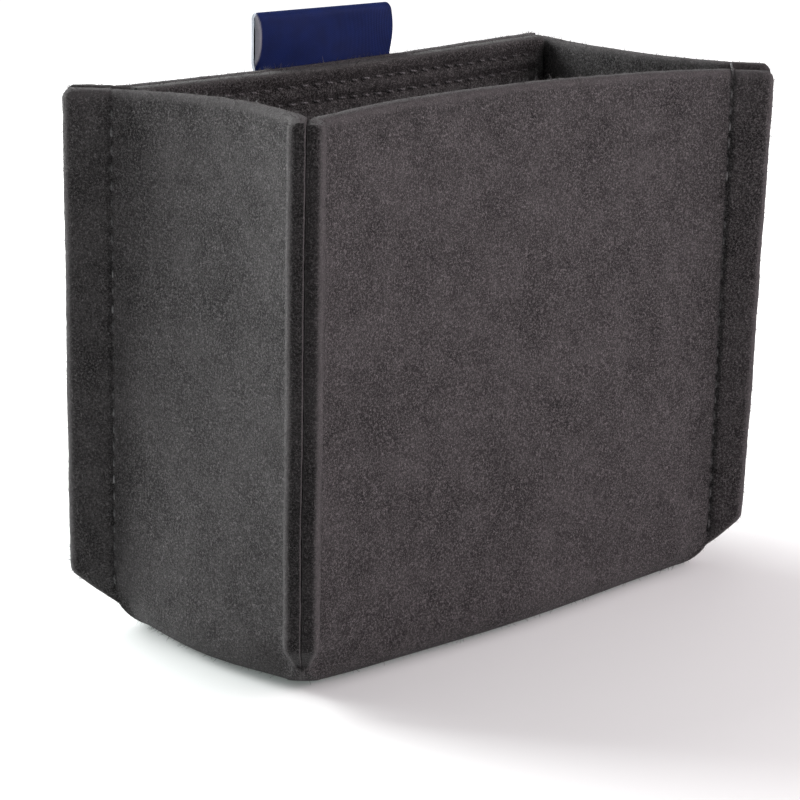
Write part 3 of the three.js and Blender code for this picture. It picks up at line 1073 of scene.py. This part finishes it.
def new_material(name):
    """A material's tree with only its output, a Principled BSDF and the Object coordinates."""
    material = bpy.data.materials.new(name)
    material.use_nodes = True
    tree = material.node_tree
    tree.nodes.clear()
    shader = add_node(tree, "BsdfPrincipled", {})
    add_node(tree, "OutputMaterial", {"Surface": shader.outputs["BSDF"]})
    return tree, shader, add_node(tree, "TexCoord", {}).outputs["Object"]


def add_math(tree, operation, first, second=0.0):
    """A Math node on sockets or numbers, and its output."""
    return add_node(tree, "Math", {0: first, 1: second}, operation=operation).outputs[0]


def add_noise(tree, vector, scale, detail, roughness=0.5, distortion=0.0):
    """A noise texture's value on a vector."""
    values = {
        "Vector": vector,
        "Scale": scale,
        "Detail": detail,
        "Roughness": roughness,
        "Distortion": distortion,
    }
    return add_node(tree, "TexNoise", values).outputs["Fac"]


def add_range(tree, value, low, high, new_low=0.0, new_high=1.0):
    """A Map Range node that clamps."""
    values = {
        "Value": value,
        "From Min": low,
        "From Max": high,
        "To Min": new_low,
        "To Max": new_high,
    }
    return add_node(tree, "MapRange", values).outputs["Result"]


def add_stretch(tree, vector, angles, scale):
    """Turns and stretches a vector, for fibres that lie one way."""
    turn = [math.radians(angle) for angle in angles]
    values = {"Vector": vector, "Rotation": turn, "Scale": scale}
    return add_node(tree, "Mapping", values).outputs["Vector"]


def add_mix(tree, factor, first, second, blend="MIX"):
    """A colour between two colours, or the first blended with the second."""
    values = {"Factor": factor, "A": first, "B": second}
    return add_node(tree, "Mix", values, data_type="RGBA", blend_type=blend).outputs["Result"]


def add_bump(tree, height, strength, distance):
    """The normals of a surface that is raised by a height."""
    values = {"Height": height, "Strength": strength, "Distance": distance}
    return add_node(tree, "Bump", values).outputs["Normal"]


def add_attribute(tree, name):
    """The numbers that one of the mesh's attributes holds."""
    return add_node(tree, "Attribute", {}, attribute_name=name).outputs["Fac"]


def new_group(name, numbers, outputs):
    """An empty node group on a vector and numbers, with its input and output nodes."""
    group = bpy.data.node_groups.new(name, "ShaderNodeTree")
    group.interface.new_socket("Vector", in_out="INPUT", socket_type="NodeSocketVector")
    for socket, default in numbers.items():
        made = group.interface.new_socket(socket, in_out="INPUT", socket_type="NodeSocketFloat")
        made.default_value = default
    for socket in outputs:
        group.interface.new_socket(socket, in_out="OUTPUT", socket_type="NodeSocketFloat")
    return group, group.nodes.new("NodeGroupInput"), group.nodes.new("NodeGroupOutput")


def place_group(tree, name, values):
    """The outputs of a node group that is placed in a material with its own values."""
    return add_node(tree, "Group", values, node_tree=bpy.data.node_groups[name]).outputs


def matted_fibres_group():
    """Matted wool: curled fibres in three directions, pits between them and slow clouds."""
    outputs = ("Fibres", "Pits", "Clouds", "Height")
    group, given, result = new_group("Matted fibres", {"Scale": 1.0}, outputs)
    values = {0: given.outputs["Vector"], "Scale": given.outputs["Scale"]}
    vector = add_node(group, "VectorMath", values, operation="SCALE").outputs["Vector"]

    fibres = None
    directions = (
        ((20, 35, 0), (1, 0.3, 1), 3000),
        ((75, -30, 50), (0.3, 1, 1), 3400),
        ((-40, 10, 110), (1, 1, 0.3), 2700),
    )
    for angles, stretch, scale in directions:
        turned = add_stretch(group, vector, angles, stretch)
        value = add_noise(group, turned, scale, 2.0, 0.55, 0.9)
        ridge = add_math(group, "ABSOLUTE", add_math(group, "SUBTRACT", value, 0.5))
        line = add_range(group, ridge, 0.0, 0.035, 1.0, 0.0)
        fibres = line if fibres is None else add_math(group, "MAXIMUM", fibres, line)
    patch = add_range(group, add_noise(group, vector, 2600, 3.0, 0.8), 0.44, 0.6)
    fibres = add_math(group, "MULTIPLY", fibres, patch)

    grain = add_noise(group, vector, 3800, 2.0, 0.8)
    pits = add_range(group, grain, 0.46, 0.34)
    near = add_noise(group, vector, 260, 2.0, 0.6)
    far = add_noise(group, vector, 85, 2.0, 0.6)
    clouds = add_math(group, "MULTIPLY", add_math(group, "ADD", near, far), 0.5)
    height = add_math(group, "SUBTRACT", add_math(group, "MULTIPLY", fibres, 0.8), pits)
    height = add_math(group, "ADD", height, grain)
    set_values(result, {"Fibres": fibres, "Pits": pits, "Clouds": clouds, "Height": height})


def felt_material(name, rgb, scale, relief, cut_dark):
    """Felt with light fibres, dark pits and soft sheen, a painted highlight along its rounded edges
    and rims, and dark where it was cut."""
    tree, shader, place = new_material(name)
    fibres = place_group(tree, "Matted fibres", {"Vector": place, "Scale": scale})
    clouds = add_range(tree, fibres["Clouds"], 0.35, 0.65)
    pits = add_math(tree, "MULTIPLY", fibres["Pits"], 0.95)
    light = add_math(tree, "MULTIPLY", fibres["Fibres"], 0.95)
    felt = add_mix(tree, clouds, shade(rgb, 0.38), shade(rgb, 1.55))
    felt = add_mix(tree, pits, felt, shade(rgb, 0.04))
    felt = add_mix(tree, light, felt, shade(rgb, 8.2))

    cut = add_attribute(tree, "cut_edge")
    # Painted highlight: the mask below marks the rounded edges and the rims, where cut_edge is small
    # but not nothing, and mixes their colour towards one 3.2 times lighter.
    near_cut = add_range(tree, cut, 0.0, 0.1)
    beside_cut = add_range(tree, cut, 0.75, 0.45)
    worn = add_math(tree, "MULTIPLY", add_math(tree, "MULTIPLY", near_cut, beside_cut), 0.55)
    felt = add_mix(tree, worn, felt, shade(rgb, 3.2))
    on_cut = add_range(tree, cut, 0.35, 1.0, 0.0, cut_dark)
    felt = add_mix(tree, on_cut, felt, (0.3, 0.3, 0.3, 1.0), "MULTIPLY")
    set_values(
        shader,
        {
            "Base Color": felt,
            "Roughness": add_range(tree, fibres["Fibres"], 0.0, 1.0, 0.95, 0.78),
            "Normal": add_bump(tree, fibres["Height"], relief, 0.12 * MM),
            "Specular IOR Level": 0.08,
            "Sheen Weight": 0.07,
            "Sheen Roughness": 0.4,
            "Sheen Tint": (0.9, 0.9, 0.92, 1.0),
        },
    )


def thread_material(rgb):
    """Spun thread: two strands wound round each other, with pale worn spots and a little shine."""
    tree, shader, place = new_material("Sewing thread")
    slanted = add_stretch(tree, place, (35, 25, 40), (1, 1, 1))
    wave = add_node(tree, "TexWave", {"Vector": slanted, "Scale": 700, "Distortion": 1.5})
    strands = wave.outputs["Fac"]
    twisted = add_mix(tree, strands, shade(rgb, 0.55), shade(rgb, 1.5))
    worn = add_range(tree, add_noise(tree, place, 180, 2.0), 0.5, 0.72)
    set_values(
        shader,
        {
            "Base Color": add_mix(tree, worn, twisted, shade(rgb, 3.2)),
            "Roughness": add_range(tree, strands, 0.0, 1.0, 0.75, 0.5),
            "Normal": add_bump(tree, strands, 1.0, 0.05 * MM),
            "Sheen Weight": 0.1,
        },
    )


def fibre_material(rgb):
    """Loose fibres of the felt, some lighter than others."""
    tree, shader, place = new_material("Loose fibres")
    mixed = add_noise(tree, place, 900, 1.0)
    light = add_range(tree, mixed, 0.35, 0.65)
    set_values(
        shader,
        {
            "Base Color": add_mix(tree, light, shade(rgb, 0.8), shade(rgb, 2.6)),
            "Roughness": add_range(tree, mixed, 0.3, 0.7, 0.6, 0.85),
            "Sheen Weight": 0.1,
        },
    )


def woven_group():
    """A fine satin weave on a ribbon's own map: warp threads crossed by weft, both out of step."""
    numbers = {"Warp": 90.0, "Weft": 60.0}
    group, given, result = new_group("Satin weave", numbers, ("Threads",))
    parts = add_node(group, "SeparateXYZ", {0: given.outputs["Vector"]}).outputs
    across = add_math(group, "MULTIPLY", parts["X"], given.outputs["Warp"])
    down = add_math(group, "MULTIPLY", parts["Y"], given.outputs["Weft"])
    step = add_math(group, "MULTIPLY", add_math(group, "FLOOR", across), 0.4)
    run = add_math(group, "PINGPONG", add_math(group, "ADD", down, step), 0.5)
    crossing = add_range(group, run, 0.0, 0.14)
    rounded = add_range(group, add_math(group, "PINGPONG", across, 0.5), 0.0, 0.3)
    set_values(result, {"Threads": add_math(group, "MULTIPLY", crossing, rounded)})


def ribbon_material(name, rgb, selvage, marked, contrast):
    """One face of the woven ribbon, silvery where an attribute marks bare white thread."""
    tree, shader, place = new_material(name)
    uv = add_node(tree, "UVMap", {}, uv_map="UVMap").outputs["UV"]
    weave = place_group(tree, "Satin weave", {"Vector": uv, "Warp": 150.0, "Weft": 110.0})
    threads = weave["Threads"]
    woven = add_mix(tree, threads, shade(rgb, contrast), shade(rgb, 1.15))
    silvery = add_mix(tree, threads, shade(selvage, 0.35), shade(selvage, 1.0))
    edged = add_mix(tree, add_attribute(tree, marked), woven, silvery)
    soiled = add_range(tree, add_noise(tree, place, 260, 3.0), 0.35, 0.7)
    set_values(
        shader,
        {
            "Base Color": add_mix(tree, soiled, edged, (0.75, 0.75, 0.75, 1.0), "MULTIPLY"),
            "Roughness": add_range(tree, threads, 0.0, 1.0, 0.8, 0.6),
            "Normal": add_bump(tree, threads, 0.5, 0.05 * MM),
            "Specular IOR Level": 0.12,
            "Sheen Weight": 0.005,
        },
    )


def magnet_material(rgb):
    """Nickel plating, turned finely and scuffed."""
    tree, shader, place = new_material("Nickel plating")
    lines = add_noise(tree, add_stretch(tree, place, (0, 0, 0), (1, 1, 12)), 300, 3.0)
    scuffs = add_range(tree, add_noise(tree, place, 150, 5.0, 0.65), 0.4, 0.7)
    set_values(
        shader,
        {
            "Base Color": add_mix(tree, scuffs, shade(rgb, 0.85), shade(rgb, 1.1)),
            "Roughness": add_range(tree, lines, 0.3, 0.7, 0.22, 0.42),
            "Normal": add_bump(tree, lines, 0.15, 0.02 * MM),
            "Metallic": 1.0,
        },
    )


def floor_material(rgb):
    """A pale studio floor with the faintest unevenness, which glows white far from the middle."""
    tree, shader, place = new_material("Studio floor")
    clouds = add_noise(tree, place, 6, 2.0)
    distance = add_node(tree, "VectorMath", {0: place}, operation="LENGTH").outputs["Value"]
    far = add_range(tree, distance, 0.08, 0.4)
    set_values(
        shader,
        {
            "Base Color": add_mix(tree, clouds, shade(rgb, 0.995), shade(rgb, 1.005)),
            "Roughness": 0.6,
            "Specular IOR Level": 0.2,
            # Painted glow: the floor gives off light of its own, faint near the middle and white far
            # from it.
            "Emission Color": add_mix(tree, far, (0.1, 0.115, 0.11, 1), (0.8, 0.8, 0.8, 1)),
            "Emission Strength": 1.0,
        },
    )


# Operators


def current_plan():
    """The plan from the scene's settings."""
    scene = bpy.context.scene
    return Plan(scene.tray_body, scene.tray_seams)


class TRAY_OT_materials(bpy.types.Operator):
    """Makes the node groups and the materials of felt, thread, ribbon and magnets"""

    bl_idname = "tray.materials"
    bl_label = "Materials"

    def execute(self, context):
        finish = context.scene.tray_finish
        ribbon = context.scene.tray_ribbon
        matted_fibres_group()
        woven_group()
        felt_material("Grey felt", finish.felt, 1.0, 0.9, 0.75)
        felt_material("Lining felt", finish.lining, 0.9, 1.0, 0.3)
        fibre_material(finish.felt)
        thread_material(finish.thread)
        ribbon_material("Ribbon face", ribbon.front, ribbon.bare, "selvage", 0.45)
        # The reverse's near-black colour is a painted shade of the hollow inside the loop.
        ribbon_material("Ribbon reverse", ribbon.reverse, ribbon.bare, "pale_inside", 0.6)
        ribbon_material("Ribbon edge", ribbon.bare, ribbon.bare, "selvage", 0.75)
        magnet_material(finish.magnet)
        return {"FINISHED"}


class TRAY_OT_felt_body(bpy.types.Operator):
    """Folds the felt body from four flat walls that share the bottom, and sews in its creases"""

    bl_idname = "tray.felt_body"
    bl_label = "Felt body"

    def execute(self, context):
        plan = current_plan()
        body = plan.body
        rim_highlight_reach = 1.1 * MM
        rim_highlight_start = 1.6
        rim_highlight_share = 0.1
        rows = body_rows(plan)
        sheets = []
        for wall in WALLS:
            columns = wall_columns(plan, wall)
            outside = folded_places(plan, wall, columns, rows, False)
            inside = folded_places(plan, wall, columns, rows, True)
            cut = cut_share(columns[None, :, 3], rows[:, None, 3])
            # Painted highlight: the felt within about 1.8 mm of the rim gets a small cut share, which
            # the felt material turns into its painted highlight.
            below_rim = body.height - rows[:, None, 2]
            pale = rim_highlight_share * smooth_step(rim_highlight_start - below_rim / rim_highlight_reach)
            cut = np.maximum(cut, pale)
            sheets.append(fold_up(f"{wall}_sheet", outside, inside, cut))
        select(*sheets)
        bpy.ops.object.join()
        tray = bpy.context.object
        tray.name = tray.data.name = "felt_tray_body"
        sew_felt(plan, tray, plan.back_face, 1, True)
        set_materials(tray, "Grey felt")
        finish_piece(tray, "felt", "felt_body")

        # The half spans of the long and the short walls.
        long_half, short_half = plan.span("front"), plan.span("left")
        return {"FINISHED"}


class TRAY_OT_back_lining(bpy.types.Operator):
    """Makes the second ply in the back wall, quilted by its two rows of stitches"""

    bl_idname = "tray.back_lining"
    bl_label = "Back lining"

    def execute(self, context):
        plan = current_plan()
        lining = context.scene.tray_lining
        edge_steps = [QUARTER * k / 3 for k in (1, 2, 3)]
        columns = lining_columns(plan, lining, edge_steps)
        rows = lining_rows(plan, lining, edge_steps)
        back, front = (lining_places(plan, lining, columns, rows, side) for side in (False, True))
        cut = cut_share(columns[None, :, 1], rows[:, None, 1])
        piece = fold_up("felt_back_lining", back, front, cut)
        piece.data.name = piece.name
        sew_felt(plan, piece, plan.lining_front, -1, False)
        set_materials(piece, "Lining felt")
        finish_piece(piece, "lining_felt", "back_lining")
        2 * (plan.flat_half("back") + lining.reach)
        return {"FINISHED"}


class TRAY_OT_stitches(bpy.types.Operator):
    """Sews the corner seams and the two rows along the back rim, stitch by stitch"""

    bl_idname = "tray.stitches"
    bl_label = "Stitches"

    def execute(self, context):
        plan = current_plan()
        seams = plan.seams
        pattern = [stitch_pattern(seams)]
        made = []
        for corner, facts in CORNERS.items():
            for side, wall in zip((-1, 1), facts["walls"]):
                name = f"{corner}_seam_{wall}"
                stitches = copies(f"{name}_stitches", pattern, corner_stitches(plan, corner, side))
                made.append((stitches, f"{name}_thread"))
        for name, drop in (("upper", seams.upper_row), ("lower", seams.lower_row)):
            for side in ("inner", "outer"):
                row = f"{name}_rim_row_{side}"
                placed = row_stitches(plan, drop, side == "outer", context.scene.tray_ribbon)
                made.append((copies(f"{row}_stitches", pattern, placed), f"{row}_thread"))
        for piece, node in made:
            smooth_shading(piece, 60)
            set_materials(piece, "Sewing thread")
            finish_piece(piece, "thread", node)
        return {"FINISHED"}


class TRAY_OT_ribbon_tab(bpy.types.Operator):
    """Folds the woven ribbon over and tucks its tails behind the back wall"""

    bl_idname = "tray.ribbon_tab"
    bl_label = "Ribbon tab"

    def execute(self, context):
        plan = current_plan()
        ribbon = context.scene.tray_ribbon
        columns = 61
        side_rows = 26
        fold_rows = 13
        fade_rows = 6
        even_share = 0.25
        path = ribbon_path(plan, ribbon, side_rows, fold_rows)
        sheet, column, row = flat_sheet("woven_ribbon_tab", columns, len(path))
        share = np.linspace(0, 1, columns)[column]
        across = ribbon.width * (even_share * share + (1 - even_share) * share**2)
        on_front = smooth_step((side_rows + fade_rows - row) / fade_rows)
        places, selvage, pale = ribbon_shape(plan, ribbon, across, path[row], on_front)
        set_places(sheet.data, places)
        sheet.data.name = sheet.name
        mark_points(sheet.data, "selvage", selvage)
        mark_points(sheet.data, "pale_inside", pale)
        set_materials(sheet, "Ribbon face", "Ribbon reverse", "Ribbon edge")
        merge_doubles(sheet)
        solid = sheet.modifiers.new("thickness", "SOLIDIFY")
        solid.thickness = ribbon.thickness
        solid.offset = -1
        solid.material_offset = 1
        solid.material_offset_rim = 2
        bpy.ops.object.modifier_apply(modifier=solid.name)
        smooth_shading(sheet, 50)
        finish_piece(sheet, "ribbon", "ribbon_tab")
        return {"FINISHED"}


class TRAY_OT_magnets(bpy.types.Operator):
    """Gives the hidden magnets their nickel plating"""

    bl_idname = "tray.magnets"
    bl_label = "Magnets"

    def execute(self, context):
        for name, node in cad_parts.items():
            if name.startswith("magnet_"):
                for slot in node.material_slots:
                    slot.material = bpy.data.materials["Nickel plating"]
        return {"FINISHED"}


class TRAY_OT_fuzz(bpy.types.Operator):
    """Scatters loose fibres over the worn edges and the faces of the felt"""

    bl_idname = "tray.fuzz"
    bl_label = "Fuzz"

    def execute(self, context):
        plan = current_plan()
        count = context.scene.tray_finish.fibres
        maker = random.Random(7)
        kinds = 6
        sides = 3
        steps = 3
        thickness = 0.045
        thinned = 0.75
        level_face = 0.93
        sunk = 0.06 * MM
        lowest = 0.9 * MM
        patterns = []
        for _ in range(kinds):
            sections = []
            lean, curl = maker.uniform(0.2, 0.6), maker.uniform(-0.6, 0.6)
            for k in range(steps + 1):
                t = k / steps
                sections.append((curl * t * t, lean * t, t, thickness * (1 - thinned * t)))
            patterns.append(taken_mesh(extruded("fibre", sides, sections)))

        pieces = [bpy.data.objects["felt_tray_body"], bpy.data.objects["felt_back_lining"]]
        for name, on_edges in (("rim_fibres", True), ("wall_fibres", False)):
            placed = []
            for place, normal in self.spots(plan, pieces, on_edges, count):
                out = Vector(normal)
                aside = Vector((1, 0, 0)) if abs(normal[2]) > level_face else Vector((0, 0, 1))
                around = out.cross(aside).normalized()
                way = Matrix.Rotation(maker.uniform(0, 2 * math.pi), 3, out) @ around
                rise = maker.uniform(0.2, 1.3) if on_edges else maker.uniform(0.05, 0.35)
                along = (way + out * rise).normalized()
                across = along.cross(out).normalized()
                size = maker.uniform(0.5, 1.2) * MM
                axes = [np.array(axis) * size for axis in (across, across.cross(along), along)]
                start = place - normal * sunk
                if start[2] + min(axes[2][2], 0) > lowest:
                    matrix = frame_matrix(*axes, start)
                    placed.append((maker.randrange(len(patterns)), matrix))
            piece = copies(name, patterns, placed)
            smooth_shading(piece, 80)
            set_materials(piece, "Loose fibres")
            finish_piece(piece, "felt")
        return {"FINISHED"}

    def spots(self, plan, pieces, on_edges, count):
        """Random (place, normal) on the pieces' faces, by area, near the edges or anywhere."""
        body = plan.body
        meshes = [piece.data for piece in pieces]
        centres = np.concatenate([read_rows(mesh.polygons, "center") for mesh in meshes])
        normals = np.concatenate([read_rows(mesh.polygons, "normal") for mesh in meshes])
        areas = np.array([face.area for mesh in meshes for face in mesh.polygons])
        heights = centres[:, 2]
        if on_edges:
            rim_reach = 3.2 * MM
            tip_start = 5.2 * MM
            tip_depth = 3.6 * MM
            fold_foot = 0.05 * MM
            fold_top = 6 * MM
            fold_share = 0.5
            steepest = 0.5
            near_rim = heights > body.height - rim_reach
            tips = np.zeros(len(areas), dtype=bool)
            for corner in CORNERS:
                middle, out, across = plan.corner_frame(corner)
                local = centres[:, :2] - middle
                tips |= (local @ out > tip_start) & (np.abs(local @ across) < tip_depth)
            fold = (heights < fold_top) & (heights > fold_foot) & (normals[:, 2] < steepest)
            weights = areas * (near_rim * 1.0 + tips * 1.0 + fold * fold_share)
        else:
            bottom = 3.2 * MM
            inner_share = 0.4
            inner_x = plan.crease_x - 8 * MM
            inner_y = plan.lining_front + 0.5 * MM
            inner = (np.abs(centres[:, 0]) < inner_x) & (np.abs(centres[:, 1]) < inner_y)
            weights = areas * np.where(inner, inner_share, 1.0) * (heights >= bottom)

        # The faces are sorted by place, so that each run picks the same ones.
        order = np.lexsort(centres.T)
        centres, normals, weights = centres[order], normals[order], weights[order]
        maker = np.random.default_rng(11 if on_edges else 12)
        chosen = maker.choice(len(weights), size=count, p=weights / weights.sum())
        jitter = maker.uniform(-0.45, 0.45, (count, 3)) * MM
        flat = normals[chosen]
        jitter -= flat * np.sum(jitter * flat, axis=1)[:, None]
        return list(zip(centres[chosen] + jitter, flat))


class TRAY_OT_stage(bpy.types.Operator):
    """Sets the floor, the soft lights and the camera"""

    bl_idname = "tray.stage"
    bl_label = "Stage"

    def execute(self, context):
        scene = context.scene
        stage = scene.tray_stage
        deselect()
        bpy.ops.mesh.primitive_grid_add(x_subdivisions=40, y_subdivisions=40, size=8)
        floor = bpy.context.object
        floor.name = "studio_floor"
        floor_material(stage.floor)
        set_materials(floor, "Studio floor")

        self.add_light("left softbox", -163, 20, 0.5, 0.62, 12.6, (0.97, 1.0, 0.99))
        self.add_light("right softbox", 42, 14, 0.75, 0.62, 6.5, (1.0, 0.85, 0.9))
        self.add_light("top softbox", 150, 78, 0.9, 0.8, 2.2, (1.0, 1.0, 1.0))

        world = bpy.data.worlds.new("Studio")
        scene.world = world
        world.use_nodes = True
        tree = world.node_tree
        tree.nodes.clear()
        seen = add_node(tree, "Background", {"Color": WHITE, "Strength": 1.0})
        lighting = add_node(tree, "Background", {"Color": WHITE, "Strength": 0.25})
        path = add_node(tree, "LightPath", {})
        mix = add_node(
            tree,
            "MixShader",
            {
                "Fac": path.outputs["Is Camera Ray"],
                1: lighting.outputs["Background"],
                2: seen.outputs["Background"],
            },
        )
        add_node(tree, "OutputWorld", {"Surface": mix.outputs["Shader"]})
        scene.view_settings.view_transform = "Standard"

        data = bpy.data.cameras.new("Camera")
        camera = bpy.data.objects.new("Camera", data)
        scene.collection.objects.link(camera)
        data.sensor_width = 36
        data.lens = stage.lens_pixels * data.sensor_width / PICTURE_WIDTH
        data.clip_start = 0.01
        data.clip_end = 30
        azimuth, elevation, roll = (
            math.radians(angle) for angle in (stage.azimuth, stage.elevation, stage.roll)
        )
        back = direction(azimuth, elevation)
        level = Vector((math.cos(azimuth), math.sin(azimuth), 0))
        upright = back.cross(level)
        right = level * math.cos(roll) + upright * math.sin(roll)
        up = upright * math.cos(roll) - level * math.sin(roll)
        place = PIVOT + level * stage.aside + upright * stage.above + back * stage.distance
        turned = Matrix((right, up, back)).transposed().to_4x4()
        camera.matrix_world = Matrix.Translation(place) @ turned
        scene.camera = camera
        return {"FINISHED"}

    def add_light(self, name, azimuth, elevation, size, distance, power, rgb):
        """A soft square light that faces the tray, at angles in degrees."""
        data = bpy.data.lights.new(name, "AREA")
        data.shape = "SQUARE"
        data.size = size
        data.energy = power
        data.color = rgb
        light = bpy.data.objects.new(name, data)
        back = direction(math.radians(azimuth), math.radians(elevation))
        light.location = PIVOT + back * distance
        light.rotation_mode = "QUATERNION"
        light.rotation_quaternion = (-back).to_track_quat("-Z", "Y")
        bpy.context.scene.collection.objects.link(light)


class TRAY_PT_panel(bpy.types.Panel):
    """Lists the steps and the settings"""

    bl_label = "Marker tray"
    bl_idname = "TRAY_PT_panel"
    bl_space_type = "VIEW_3D"
    bl_region_type = "UI"
    bl_category = "Marker tray"

    def draw(self, context):
        for step in STEPS:
            self.layout.operator(step.bl_idname)
        for name, group in SETTINGS.items():
            box = self.layout.box()
            box.label(text=group.__doc__)
            for setting in group.__annotations__:
                box.prop(getattr(context.scene, name), setting)


SETTINGS = {
    "tray_body": TrayBodySettings,
    "tray_seams": SeamSettings,
    "tray_lining": LiningSettings,
    "tray_ribbon": RibbonSettings,
    "tray_finish": FinishSettings,
    "tray_stage": StageSettings,
}
STEPS = (
    TRAY_OT_materials,
    TRAY_OT_felt_body,
    TRAY_OT_back_lining,
    TRAY_OT_stitches,
    TRAY_OT_ribbon_tab,
    TRAY_OT_magnets,
    TRAY_OT_fuzz,
    TRAY_OT_stage,
)


def register():
    """Registers the settings, the operators and the panel."""
    for name, group in SETTINGS.items():
        bpy.utils.register_class(group)
        setattr(bpy.types.Scene, name, PointerProperty(type=group))
    for step in (*STEPS, TRAY_PT_panel):
        bpy.utils.register_class(step)


def unregister():
    """Takes them back."""
    for step in (*STEPS, TRAY_PT_panel):
        bpy.utils.unregister_class(step)
    for name, group in SETTINGS.items():
        delattr(bpy.types.Scene, name)
        bpy.utils.unregister_class(group)


def main():
    """Makes the tray step by step."""
    register()
    for step in STEPS:
        family, name = step.bl_idname.split(".")
        getattr(getattr(bpy.ops, family), name)()


if __name__ == "__main__":
    main()
